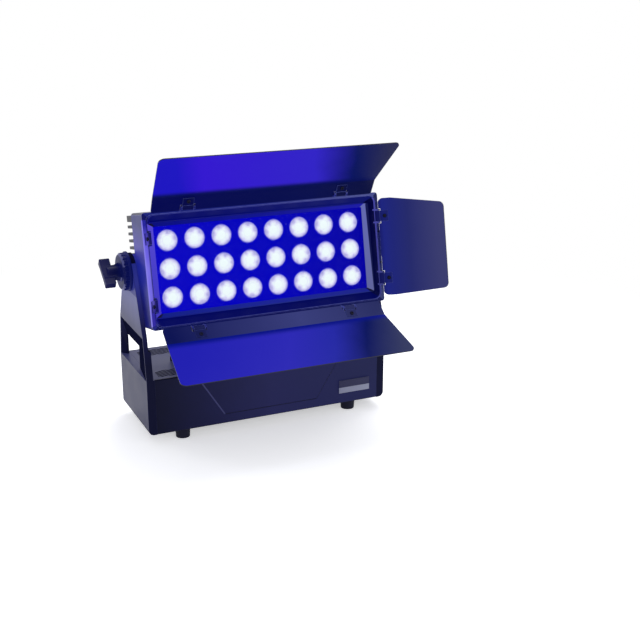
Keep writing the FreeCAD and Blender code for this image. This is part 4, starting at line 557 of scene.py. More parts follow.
# Bevels that face the pale room on the left: the same black with a soft painted sheen.
PAINTED_SHEEN = Finish(
    "black_coat_with_painted_sheen", "#0A0C34", "#0E1040", 0.35, Grain.SPARK, 0.9, 0.01, specular=0.3,
    spill=Spill(ACROSS, -225, BASE_HALF_MM, ((0.0, "#3A3C70"), (0.3, "#2A2C50"), (1.0, "#202244"))),
)
# Feet and seal: matt rubber, which swallows nearly all light.
RUBBER = Finish("black_rubber", "#14152A", "#1B1C30", 0.7, Grain.SPARK, 0.8, 0.03, specular=0.2)
# Screws, studs and inserts: bright zinc with faint clouds of 8 mm.
STEEL = Finish(
    "zinc_plated_steel", "#A9ABB4", "#8F919C", 0.3, Grain.SMOOTH, 3, 0.01, 8, metallic=1.0
)
# Small hardware on black sheet: oiled black oxide, with a grey painted highlight at its edges.
BLACK_STEEL = Finish(
    "black_oxide_steel", "#0A0B28", "#101234", 0.38, Grain.SMOOTH, 2, 0.01, 12, specular=0.15,
    edge_highlight="#44487C",
)
# Cable glands: hard moulded plastic with a low gloss.
GLAND = Finish("gland_polyamide", "#08091A", "#0C0D20", 0.34, Grain.SPARK, specular=0.35)
# The supply's case, dimly seen through the vents: bare zinc with spangles of 14 mm.
SUPPLY = Finish(
    "pressed_zinc_sheet", "#9EA1A6", "#84878E", 0.4, Grain.SMOOTH, 6, patch_mm=14, metallic=1.0
)
# Circuit boards: green lacquer over copper, and white lacquer round the light sources.
CIRCUIT = Finish("green_solder_mask", "#0F4A2E", "#155A38", 0.35, Grain.SMOOTH, 4)
LED_BOARD = Finish("white_solder_mask", "#D8DAD6", "#C8CAC8", 0.4, Grain.SMOOTH, 4)
EMITTER = Finish("yellow_phosphor_gel", "#D9C23A", "#C8AE2C", 0.25, Grain.SMOOTH, 2)
# Rear controls: smoked window, soft keys, and sockets in the colours of their trade.
READ_OUT = Finish("smoked_acrylic", "#05060A", "#080A12", 0.12, Grain.SMOOTH, 20, 0.01)
BUTTON = Finish("grey_silicone", "#3A3C44", "#42444C", 0.55, Grain.SPARK, 0.8)
POWER_SOCKET = Finish("blue_polyamide", "#1E4FA8", "#1A4698", 0.35, Grain.SPARK, 0.8)
DATA_SOCKET = Finish(
    "black_chrome_shell", "#2A2B30", "#36373D", 0.25, Grain.SMOOTH, 3, metallic=1.0
)
FUSE = Finish("black_phenolic", "#0C0C10", "#131318", 0.3, Grain.SPARK, 0.8)
# Bushes: pressed bronze grains, dull and brown.
BUSH = Finish("sintered_bronze", "#8A6A40", "#74572F", 0.45, Grain.SAND, 0.6, metallic=1.0)
# The plate round the lenses, which their light floods with deep blue.
LENS_PLATE = Finish(
    "lens_plate_lit", "#020214", "#030320", 0.5, Grain.ORANGE_PEEL, specular=0.02,
    spill=Spill(ACROSS, -171, 171, ((0.0, "#0602C6"), (0.55, "#0101BC"), (1.0, "#0502A2"))),
)

def leaf_light(name: str, spill: Spill) -> Finish:
    """The leaf coat with the light that one face of it shows."""
    return Finish(
        name, "#04051A", "#060722", 0.5, Grain.ORANGE_PEEL, 1.4, specular=0.05, spill=spill
    )


def frame_light(name: str, side: Side, codes: Sequence[str], fold: Fold | None = None) -> Finish:
    """The head's paint with the light that one side of its mouth shows.

    Args:
        name: What the finish is called.
        side: The side of the mouth.
        codes: Hex colours at the ends, or ends and middle, from the left or from below.
        fold: Shade along the side, or none.

    Returns:
        The finish.
    """
    stops = tuple((number / (len(codes) - 1), code) for number, code in enumerate(codes))
    level = side in (Side.TOP, Side.BOTTOM)
    run = (ACROSS, -178, 178) if level else (UP, 183, 325)
    spill = Spill(*run, stops, fold=fold)
    return Finish(name, "#04051A", "#060722", 0.45, Grain.SAND, 1.1, specular=0.06, spill=spill)


def cad_node(name: str) -> bpy.types.Object:
    """The CAD node with that name."""
    return frame["nodes"][name]


def body_of(node: str) -> str:
    """The name of the body that a CAD node belongs to."""
    return cad_node(node)["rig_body"]


def paint(node: str, finish: Finish | GlassFinish) -> None:
    """Gives a CAD node its finish."""
    for slot in cad_node(node).material_slots:
        slot.material = finish.material()
    LOG.info("%s: %s", node, finish.name)


def add_finishes(mesh: bpy.types.Mesh, *finishes: Finish) -> list[int]:
    """Adds finishes to a mesh.

    Args:
        mesh: The mesh that gets them.
        *finishes: The finishes, in order.

    Returns:
        The number of each.
    """
    first = len(mesh.materials)
    for finish in finishes:
        mesh.materials.append(finish.material())
    return list(range(first, first + len(finishes)))


def settle(
    piece: bpy.types.Object,
    body: str,
    nodes: Sequence[str] = (),
    smooth_degrees: float = 32.0,
) -> bpy.types.Object:
    """Lets a finished piece ride on its body.

    Args:
        piece: The finished mesh object.
        body: The body that carries it.
        nodes: CAD nodes that the piece stands for.
        smooth_degrees: Edges sharper than this stay sharp.

    Returns:
        The piece.
    """
    piece.data.shade_smooth()
    piece.data.set_sharp_from_angle(angle=math.radians(smooth_degrees))
    # Broad flat faces keep their own facing, so that only the narrow edges shade round.
    level = piece.modifiers.new("facing", "WEIGHTED_NORMAL")
    level.keep_sharp = True
    level.weight = 100
    plain_mesh(piece)
    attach(piece, body)
    if nodes:
        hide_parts(*nodes)
    LOG.info("%s rides on %s", piece.name, body)
    return piece


def new_piece(name: str, shape: bmesh.types.BMesh | bpy.types.Mesh) -> bpy.types.Object:
    """Makes an object at the origin from a finished shape."""
    if isinstance(shape, bmesh.types.BMesh):
        mesh = bpy.data.meshes.new(name)
        shape.to_mesh(mesh)
        shape.free()
    else:
        mesh = shape
    piece = bpy.data.objects.new(name, mesh)
    bpy.context.scene.collection.objects.link(piece)
    return piece


def plain_mesh(piece: bpy.types.Object) -> bpy.types.Object:
    """Turns what the piece's modifiers give into its plain mesh, and drops them."""
    graph = bpy.context.evaluated_depsgraph_get()
    mesh = bpy.data.meshes.new_from_object(piece.evaluated_get(graph), depsgraph=graph)
    piece.modifiers.clear()
    piece.data = mesh
    return piece


def merged(node: str) -> bmesh.types.BMesh:
    """A merged copy of a CAD node's mesh, with its flat faces in one piece each."""
    shape = bmesh.new()
    shape.from_mesh(cad_node(node).data)
    bmesh.ops.remove_doubles(shape, verts=shape.verts, dist=MERGE_MM * MM)
    bmesh.ops.dissolve_limit(
        shape,
        angle_limit=math.radians(0.6),
        verts=shape.verts,
        edges=shape.edges,
        delimit={"NORMAL"},
    )
    for shape_face in shape.faces:
        shape_face.material_index = 0
    return shape


def dressed_copy(
    node: str,
    finish: Finish,
    edge_mm: float = 0.5,
    sort_faces: Callable[[bpy.types.Mesh], None] | None = None,
    rework: Callable[[bmesh.types.BMesh], None] | None = None,
    degrees: float = 34.0,
) -> bpy.types.Object:
    """Stands in for a CAD node with the same shape and small rounded edges.

    Args:
        node: The CAD node.
        finish: The finish of the whole piece.
        edge_mm: Width of the rounded edges.
        sort_faces: Gives faces their own finishes, or none.
        rework: Cuts or adds to the merged shape, or none.
        degrees: Edges sharper than this are rounded.

    Returns:
        The new piece.
    """
    shape = merged(node)
    if rework:
        rework(shape)
    piece = new_piece(f"{node}_dressed", shape)
    bevel = piece.modifiers.new("edges", "BEVEL")
    bevel.width = edge_mm * MM
    bevel.segments = 2
    bevel.limit_method = "ANGLE"
    bevel.angle_limit = math.radians(degrees)
    bevel.use_clamp_overlap = True
    # The rounded edges get the finish's painted highlight, where it has one.
    bevel.material = 1 if finish.edge_highlight else 0
    piece.data.materials.clear()
    piece.data.materials.append(finish.material())
    if finish.edge_highlight:
        piece.data.materials.append(finish.material(edge_lit=True))
    plain_mesh(piece)
    if sort_faces:
        sort_faces(piece.data)
    return settle(piece, body_of(node), [node])


def islands(node: str) -> list[tuple[Vector, list[Vector]]]:
    """The separate solids of a CAD node.

    Args:
        node: The CAD node.

    Returns:
        The centre and the points of each solid.
    """
    shape = bmesh.new()
    shape.from_mesh(cad_node(node).data)
    bmesh.ops.remove_doubles(shape, verts=shape.verts, dist=MERGE_MM * MM)
    found, seen = [], set()
    for start in shape.verts:
        if start in seen:
            continue
        group, queue = [], [start]
        seen.add(start)
        while queue:
            point = queue.pop()
            group.append(point.co.copy())
            for edge in point.link_edges:
                other = edge.other_vert(point)
                if other not in seen:
                    seen.add(other)
                    queue.append(other)
        low = Vector(min(p[i] for p in group) for i in range(3))
        high = Vector(max(p[i] for p in group) for i in range(3))
        found.append(((low + high) / 2, group))
    shape.free()
    return found


def lathe(
    profile: Sequence[tuple[float, float]],
    count: int,
    bend: Callable[[float, float, int], float] | None = None,
) -> bmesh.types.BMesh:
    """Turns a profile round the Z axis, with closed ends.

    Args:
        profile: Radius and height of each ring in metres, from one end to the other.
        count: Points of a ring.
        bend: Gives the radius of a point from its ring's radius, its angle and its ring.

    Returns:
        The closed shape.
    """
    shape = bmesh.new()
    rings = []
    for number, (radius, height) in enumerate(profile):
        if radius <= 0:
            rings.append([shape.verts.new((0, 0, height))])
            continue
        ring = []
        for k in range(count):
            angle = math.tau * k / count
            reach = bend(radius, angle, number) if bend else radius
            ring.append(shape.verts.new((reach * math.cos(angle), reach * math.sin(angle), height)))
        rings.append(ring)
    for low, high in zip(rings, rings[1:]):
        for k in range(count):
            following = (k + 1) % count
            if len(low) == 1:
                shape.faces.new((low[0], high[following], high[k]))
            elif len(high) == 1:
                shape.faces.new((low[k], low[following], high[0]))
            else:
                shape.faces.new((low[k], low[following], high[following], high[k]))
    bmesh.ops.recalc_face_normals(shape, faces=shape.faces)
    return shape


def prism(
    shape: bmesh.types.BMesh, outline: Sequence[Vector], way: Vector
) -> list[bmesh.types.BMFace]:
    """Adds a closed prism to a shape.

    Args:
        shape: The shape that gets it.
        outline: Corners of its flat foot, in metres.
        way: From the foot to the far end.

    Returns:
        The new faces, foot and far end first.
    """
    low = [shape.verts.new(p) for p in outline]
    high = [shape.verts.new(p + way) for p in outline]
    faces = [shape.faces.new(low), shape.faces.new(high[::-1])]
    for k in range(len(low)):
        n = (k + 1) % len(low)
        faces.append(shape.faces.new((low[k], low[n], high[n], high[k])))
    bmesh.ops.recalc_face_normals(shape, faces=faces)
    return faces


def cut_faces(shape: bmesh.types.BMesh, place: Vector, way: Vector) -> None:
    """Cuts the faces of a shape along a plane, and leaves both sides."""
    parts = shape.verts[:] + shape.edges[:] + shape.faces[:]
    bmesh.ops.bisect_plane(shape, geom=parts, plane_co=place, plane_no=way, dist=CUT_MM * MM)


@dataclass
class Spreader:
    """A Geometry Nodes tree that sets one shape on many points, each with its own facing.

    Attributes:
        name: Name of the finished piece.
        finish: The finish that the tree sets.
        size: Factor on the shape's size.
    """

    name: str
    finish: Finish | LensFinish
    size: float = 1.0

    def tree(self) -> bpy.types.NodeTree:
        """Builds the tree with its named inputs.

        Returns:
            The tree.
        """
        tree = bpy.data.node_groups.new(f"{self.name}_spread", "GeometryNodeTree")
        kinds = ("Geometry", "Object", "Float", "Float", "Int", "Material")
        names = ("Points", "Shape", "Size", "Turn Spread", "Seed", "Material")
        for name, kind in zip(names, kinds):
            tree.interface.new_socket(name, in_out="INPUT", socket_type=f"NodeSocket{kind}")
        tree.interface.new_socket("Result", in_out="OUTPUT", socket_type="NodeSocketGeometry")
        given = add_node(tree, "NodeGroupInput").outputs
        shape = add_node(
            tree, "GeometryNodeObjectInfo", {"Object": given["Shape"]}, transform_space="ORIGINAL"
        )
        facing = add_node(
            tree, "GeometryNodeInputNamedAttribute", {"Name": "facing"}, data_type="FLOAT_VECTOR"
        )
        turned = add_node(
            tree,
            "FunctionNodeAlignRotationToVector",
            {"Vector": facing.outputs["Attribute"]},
            axis="Z",
        )
        chance = add_node(
            tree,
            "FunctionNodeRandomValue",
            {"Max": given["Turn Spread"], "Seed": given["Seed"]},
            data_type="FLOAT",
        )
        # The random value's float sockets share names with its other types.
        tree.links.new(given["Turn Spread"], chance.inputs[3])
        spin = add_node(
            tree, "FunctionNodeAxisAngleToRotation", {"Axis": (0, 0, 1), "Angle": chance.outputs[1]}
        )
        both = add_node(
            tree,
            "FunctionNodeRotateRotation",
            {"Rotation": turned.outputs["Rotation"], "Rotate By": spin.outputs["Rotation"]},
            rotation_space="LOCAL",
        )
        spread = add_node(
            tree,
            "GeometryNodeInstanceOnPoints",
            {
                "Points": given["Points"],
                "Instance": shape.outputs["Geometry"],
                "Rotation": both.outputs["Rotation"],
                "Scale": given["Size"],
            },
        )
        real = add_node(
            tree, "GeometryNodeRealizeInstances", {"Geometry": spread.outputs["Instances"]}
        )
        coated = add_node(
            tree,
            "GeometryNodeSetMaterial",
            {"Geometry": real.outputs["Geometry"], "Material": given["Material"]},
        )
        add_node(tree, "NodeGroupOutput", {"Result": coated.outputs["Geometry"]})
        return tree

    def make(
        self,
        shape: bmesh.types.BMesh,
        places: Sequence[tuple[Vector, Vector]],
        turn_spread: float,
        seed: int,
    ) -> bpy.types.Object:
        """Sets the shape on the places.

        Args:
            shape: The shape, standing on the origin with its top along Z.
            places: Point and facing of each copy, in the row frame.
            turn_spread: Most that a copy turns about its own axis, in radians.
            seed: Seed of those turns.

        Returns:
            The finished mesh object.
        """
        master = new_piece(f"{self.name}_shape", shape)
        points = bpy.data.meshes.new(self.name)
        points.from_pydata([p for p, _ in places], [], [])
        facing = points.attributes.new("facing", "FLOAT_VECTOR", "POINT")
        for item, (_, way) in zip(facing.data, places):
            item.vector = way
        piece = new_piece(self.name, points)
        tree = self.tree()
        modifier = piece.modifiers.new("spread", "NODES")
        modifier.node_group = tree
        values = {
            "Shape": master,
            "Size": self.size,
            "Turn Spread": turn_spread,
            "Seed": seed,
            "Material": self.finish.material(),
        }
        for socket in tree.interface.items_tree:
            if socket.in_out == "INPUT" and socket.name in values:
                modifier[socket.identifier] = values[socket.name]
        plain_mesh(piece)
        bpy.data.objects.remove(master)
        return piece


@dataclass
class ScrewKit:
    """Pan-head screws with a six-sided recess, one set to a CAD node.

    Attributes:
        head_mm: Radius of the head.
        height_mm: Height of the head.
        shank_mm: Radius of the shank.
    """

    head_mm: float
    height_mm: float
    shank_mm: float
    ring_points: int = 24

    def shape(self, length_mm: float) -> bmesh.types.BMesh:
        """One screw with the top of its head on the origin.

        Args:
            length_mm: Length from the top of the head to the tip.

        Returns:
            The screw.
        """
        head, high, shank = (v * MM for v in (self.head_mm, self.height_mm, self.shank_mm))
        tip = length_mm * MM
        profile = [
            (0.0, -tip),
            (shank * 0.75, -tip),
            (shank, -tip + shank * 0.5),
            (shank, -high),
            (head * 0.97, -high),
            (head, -high * 0.8),
            (head * 0.97, -high * 0.5),
            (head * 0.86, -high * 0.2),
            (head * 0.7, -high * 0.04),
            (head * 0.58, 0.0),
            (head * 0.5, -high * 0.05),
            (head * 0.47, -high * 0.6),
            (0.0, -high * 0.68),
        ]

        def six_sided(radius: float, angle: float, ring: int) -> float:
            """Pulls the recess in to a six-sided outline."""
            if ring < 10:
                return radius
            sector = (angle + math.pi / 6) % (math.pi / 3) - math.pi / 6
            return radius * math.cos(math.pi / 6) / math.cos(sector)

        return lathe(profile, self.ring_points, six_sided)

    def fit(self, node: str, out: Callable[[Vector], Vector], finish: Finish, slot: str) -> None:
        """Sets a screw on each solid of a CAD node.

        Args:
            node: The CAD node of the screws.
            out: Gives the way that a screw's head faces from the solid's centre.
            finish: The finish of the screws.
            slot: Name of a material slot; not used.
        """
        places, length = [], 0.0
        for centre, group in islands(node):
            way = out(centre).normalized()
            reach = [(p - centre).dot(way) for p in group]
            places.append((centre + way * max(reach), way))
            length = max(reach) - min(reach)
        made = Spreader(f"{node}_turned", finish).make(
            self.shape(length / MM), places, math.pi / 3, len(places)
        )
        settle(made, body_of(node), [node])


@dataclass
class HeadFrame:
    """The lamp head's own frame in the row frame: X across, Y back, Z up along the face."""

    pivot_mm: float = 241.6
    tilt_degrees: float = 11.3

    def matrix(self) -> Matrix:
        """The frame as a matrix."""
        turn = Matrix.Rotation(-math.radians(self.tilt_degrees), 4, "X")
        return Matrix.Translation((0, 0, self.pivot_mm * MM)) @ turn

    def point(self, x: float, y: float, z: float) -> Vector:
        """A point of the head, given in millimetres."""
        return self.matrix() @ Vector((x * MM, y * MM, z * MM))

    def way(self, x: float, y: float, z: float) -> Vector:
        """A direction of the head."""
        return self.matrix().to_3x3() @ Vector((x, y, z))

    def back(self, point: Vector) -> Vector:
        """A row point in the head's frame, in millimetres."""
        return (self.matrix().inverted() @ point) / MM

    def facing(self, way: Vector) -> Vector:
        """A row direction in the head's frame."""
        return self.matrix().to_3x3().inverted() @ way


HEAD = HeadFrame()


@dataclass
class BaseUnit:
    """The floor base with its cover, rear controls, feet and what it holds inside."""

    field_front_mm: float = -72.0
    plate_left_mm: float = 110.8
    plate_right_mm: float = 161.8
    plate_low_mm: float = 32.3
    plate_high_mm: float = 52.6
    plate_thick_mm: float = 0.8
    plate_split: float = 0.44
    plate_rim_mm: float = 0.7
    plate_sink_mm: float = 0.25
    vent_half_mm: float = 167.0
    vent_lean_mm: float = 73.0
    vent_run_mm: float = 26.0
    vent_pitch_mm: float = 14.0
    vent_width_mm: float = 8.0
    vent_rows_mm: tuple[float, float] = (-60.0, 34.5)
    vent_least_mm: float = 3.0
    gland_mm: tuple[float, float, float] = (-120.0, 0.0, 8.0)
    gland_points: int = 32
    screws: ScrewKit = field(default_factory=lambda: ScrewKit(3.6, 2.2, 2.0))

    def build(self) -> None:
        """Builds and dresses the whole base."""
        dressed_copy("base_housing", PAINT, 0.7, self.light_front)
        self.cover()
        dressed_copy("rear_panel", PAINT, 0.4)
        dressed_copy("rubber_feet", RUBBER, 0.6)
        dressed_copy("safety_eye", BLACK_STEEL, 0.4)
        dressed_copy("quarter_turn_sockets", STEEL, 0.3)
        dressed_copy("base_cable_gland", GLAND, 0.4)
        self.screws.fit("foot_screws", lambda c: Vector((0, 0, -1)), STEEL, "steel")
        self.screws.fit(
            "rear_panel_screws", lambda c: Vector((0, 1, 0)), BLACK_STEEL, "black_steel"
        )
        inner = {
            "power_supply": SUPPLY,
            "driver_board": CIRCUIT,
            "display_board": CIRCUIT,
            "display_window": READ_OUT,
            "power_inlet": POWER_SOCKET,
            "power_outlet": POWER_SOCKET,
            "data_inlet": DATA_SOCKET,
            "data_outlet": DATA_SOCKET,
            "fuse_holder": FUSE,
            "fuse_cap": FUSE,
            "button_menu": BUTTON,
            "button_down": BUTTON,
            "button_up": BUTTON,
            "button_enter": BUTTON,
            "left_pivot_bush": BUSH,
            "right_pivot_bush": BUSH,
        }
        for node, finish in inner.items():
            paint(node, finish)
        self.blank_plate()

    def vent(self, start: float, low: float) -> list[tuple[float, float]]:
        """The outline of one slanted vent, cut off at the ends of its row.

        Args:
            start: Where its left edge would start at the row's front.
            low: The row's front edge.

        Returns:
            Its corners in millimetres.
        """
        limit, corners = self.vent_half_mm, []
        for edge, order in ((start, 1), (start + self.vent_width_mm, -1)):
            ends = []
            for x in (edge, edge + self.vent_lean_mm):
                held = min(max(x, -limit), limit)
                ends.append((held, low + self.vent_run_mm * (held - edge) / self.vent_lean_mm))
            corners += ends[::order]
        return corners

    def cover(self) -> None:
        """Builds the top cover: a sheet with two rows of long slanted vents."""
        shape = bmesh.new()
        low, high = (Vector(c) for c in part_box("base_top_cover"))
        corners = ((low.x, low.y), (high.x, low.y), (high.x, high.y), (low.x, high.y))
        tall = Vector((0, 0, high.z - low.z))
        prism(shape, [Vector((x, y, low.z)) for x, y in corners], tall)
        piece = new_piece("base_top_cover_vented", shape)
        cuts = bmesh.new()
        outlines = []
        start = -self.vent_half_mm - self.vent_lean_mm + self.vent_pitch_mm
        while start < self.vent_half_mm - self.vent_width_mm * 2:
            outlines += [self.vent(start, row) for row in self.vent_rows_mm]
            start += self.vent_pitch_mm
        x, y, radius = self.gland_mm
        turns = [math.tau * k / self.gland_points for k in range(self.gland_points)]
        outlines.append([(x + radius * math.cos(a), y + radius * math.sin(a)) for a in turns])
        for outline in outlines:
            deep = max(p[1] for p in outline) - min(p[1] for p in outline)
            if deep > self.vent_least_mm:
                foot = [Vector((x * MM, y * MM, low.z - tall.z)) for x, y in outline]
                prism(cuts, foot, tall * 3)
        tool = new_piece("vents", cuts)
        cut = piece.modifiers.new("vents", "BOOLEAN")
        cut.object = tool
        cut.solver = "EXACT"
        piece.data.materials.append(PAINT_LIT_FROM_ABOVE.material())
        piece.data.materials.append(PAINT.material())
        plain_mesh(piece)
        bpy.data.objects.remove(tool)
        # Faces that look up take the coat with painted light from above.
        for polygon in piece.data.polygons:
            polygon.material_index = 0 if polygon.normal.z > 0.9 else 1
        settle(piece, "base", ["base_top_cover"])

    def light_front(self, mesh: bpy.types.Mesh) -> None:
        """Gives the faces that look forward their painted light, and the bevels beside them a
        painted sheen.
        """
        front, bevel = add_finishes(mesh, FRONT_PAINT_LIT, PAINTED_SHEEN)
        for polygon in mesh.polygons:
            if polygon.material_index:
                continue
            if polygon.normal.y < -0.95:
                polygon.material_index = front
            elif polygon.normal.y < -0.4 and polygon.normal.x < -0.2:
                polygon.material_index = bevel

    def blank_plate(self) -> None:
        """Adds the blank plate on the front: a raised rim round two plain bands."""
        middle = self.plate_low_mm + (self.plate_high_mm - self.plate_low_mm) * self.plate_split
        bands = (
            ("upper", middle, self.plate_high_mm, "#23254F", "#282A56"),
            ("lower", self.plate_low_mm, middle, "#9A9EB8", "#A4A8C0"),
        )
        for name, low, high, colour, patch in bands:
            finish = Finish(
                f"printed_foil_{name}", colour, patch, 0.4, Grain.SMOOTH, 12, 0.01, specular=0.3
            )
            shape = bmesh.new()
            left, right = self.plate_left_mm, self.plate_right_mm
            outline = [
                Vector((x, self.field_front_mm, z)) * MM
                for x, z in ((left, low), (right, low), (right, high), (left, high))
            ]
            top = prism(shape, outline, Vector((0, -self.plate_thick_mm * MM, 0)))[1]
            rim, sink = self.plate_rim_mm * MM, self.plate_sink_mm * MM
            bmesh.ops.inset_region(shape, faces=[top], thickness=rim, depth=-sink)
            piece = new_piece(f"blank_plate_{name}", shape)
            piece.data.materials.append(finish.material())
            settle(piece, "base")


@dataclass
class Arms:
    """The two cast arms that carry the head."""

    edge_mm: float = 0.9
    knob_shade_mm: float = 213.0
    sill_mm: float = 130.0

    def build(self) -> None:
        """Builds and dresses both arms."""
        for side in ("left", "right"):
            dressed_copy(
                f"{side}_arm_frame",
                ARM_CAST,
                self.edge_mm,
                self.light_sides,
                self.cut_at_knob,
            )

    def cut_at_knob(self, shape: bmesh.types.BMesh) -> None:
        """Cuts the outer side below the knob, so that the part above can take painted shade from
        the knob.
        """
        cut_faces(shape, Vector(UP) * self.knob_shade_mm * MM, Vector(UP))

    def light_sides(self, mesh: bpy.types.Mesh) -> None:
        """Gives the outer side, front edge and sill their painted light, and the side beside the
        knob and the upright window walls their painted shade.
        """
        finishes = (ARM_SIDE_LIT, ARM_FRONT_LIGHT_AND_SHADE, PAINT_LIT_FROM_ABOVE, ARM_INNER_SHADED)
        side, front, sill, inner = add_finishes(mesh, *finishes)
        for polygon in mesh.polygons:
            outward = abs(polygon.normal.x) if polygon.normal.x * polygon.center.x > 0 else 0
            if polygon.material_index:
                continue
            if outward > 0.995 and polygon.center.z < self.knob_shade_mm * MM:
                polygon.material_index = side
            elif outward > 0.995 or polygon.normal.y < -0.8:
                polygon.material_index = front
            elif polygon.normal.z > 0.35 and polygon.center.z < self.sill_mm * MM:
                polygon.material_index = sill
            elif outward > 0.9:
                polygon.material_index = inner


@dataclass
class Knobs:
    """The two clamping knobs with their studs."""

    edge_mm: float = 0.5
    foot_mm: float = 188.3
    left_degrees: float = 54.0
    right_degrees: float = -25.0
    web_mm: float = 8.6
    rim_mm: tuple[float, float] = (8.0, 13.0)
    outline_mm: tuple[tuple[float, float], ...] = (
        (-15.0, 11.0),
        (15.0, 11.0),
        (13.0, 13.5),
        (11.0, 18.0),
        (10.5, 22.0),
        (10.5, 36.2),
        (-10.5, 36.2),
        (-10.5, 22.0),
        (-11.0, 18.0),
        (-13.0, 13.5),
    )

    def build(self) -> None:
        """Builds and dresses the knobs and studs."""
        for side in ("left", "right"):
            dressed_copy(
                f"{side}_tilt_knob",
                KNOB,
                self.edge_mm,
                self.light_rim,
                lambda shape, s=side: self.add_web(shape, s),
            )
            paint(f"{side}_knob_stud", STEEL)

    def add_web(self, shape: bmesh.types.BMesh, side: str) -> None:
        """Adds the flat web that joins the grip to the knob.

        Args:
            shape: The knob's merged shape.
            side: Which knob it is.
        """
        sign = -1 if side == "left" else 1
        degrees = self.left_degrees if side == "left" else self.right_degrees
        turn = Matrix.Rotation(-math.radians(degrees), 3, "X")
        bar = turn @ Vector((0, 0, -sign))
        across = turn @ Vector((0, 1, 0))
        start = Vector((sign * self.foot_mm, 0, HEAD.pivot_mm))
        outline = [
            (start + bar * u + Vector((sign * w, 0, 0)) - across * self.web_mm / 2) * MM
            for u, w in self.outline_mm
        ]
        prism(shape, outline, across * self.web_mm * MM)

    def light_rim(self, mesh: bpy.types.Mesh) -> None:
        """Gives the bevel round the knob's face its painted sheen above and below."""
        (number,) = add_finishes(mesh, PAINTED_SHEEN)
        low, high = self.rim_mm
        for polygon in mesh.polygons:
            if 0.5 < abs(polygon.normal.x) < 0.9 and abs(polygon.normal.z) > 0.35:
                if low < abs(polygon.center.x) / MM - self.foot_mm < high:
                    polygon.material_index = number


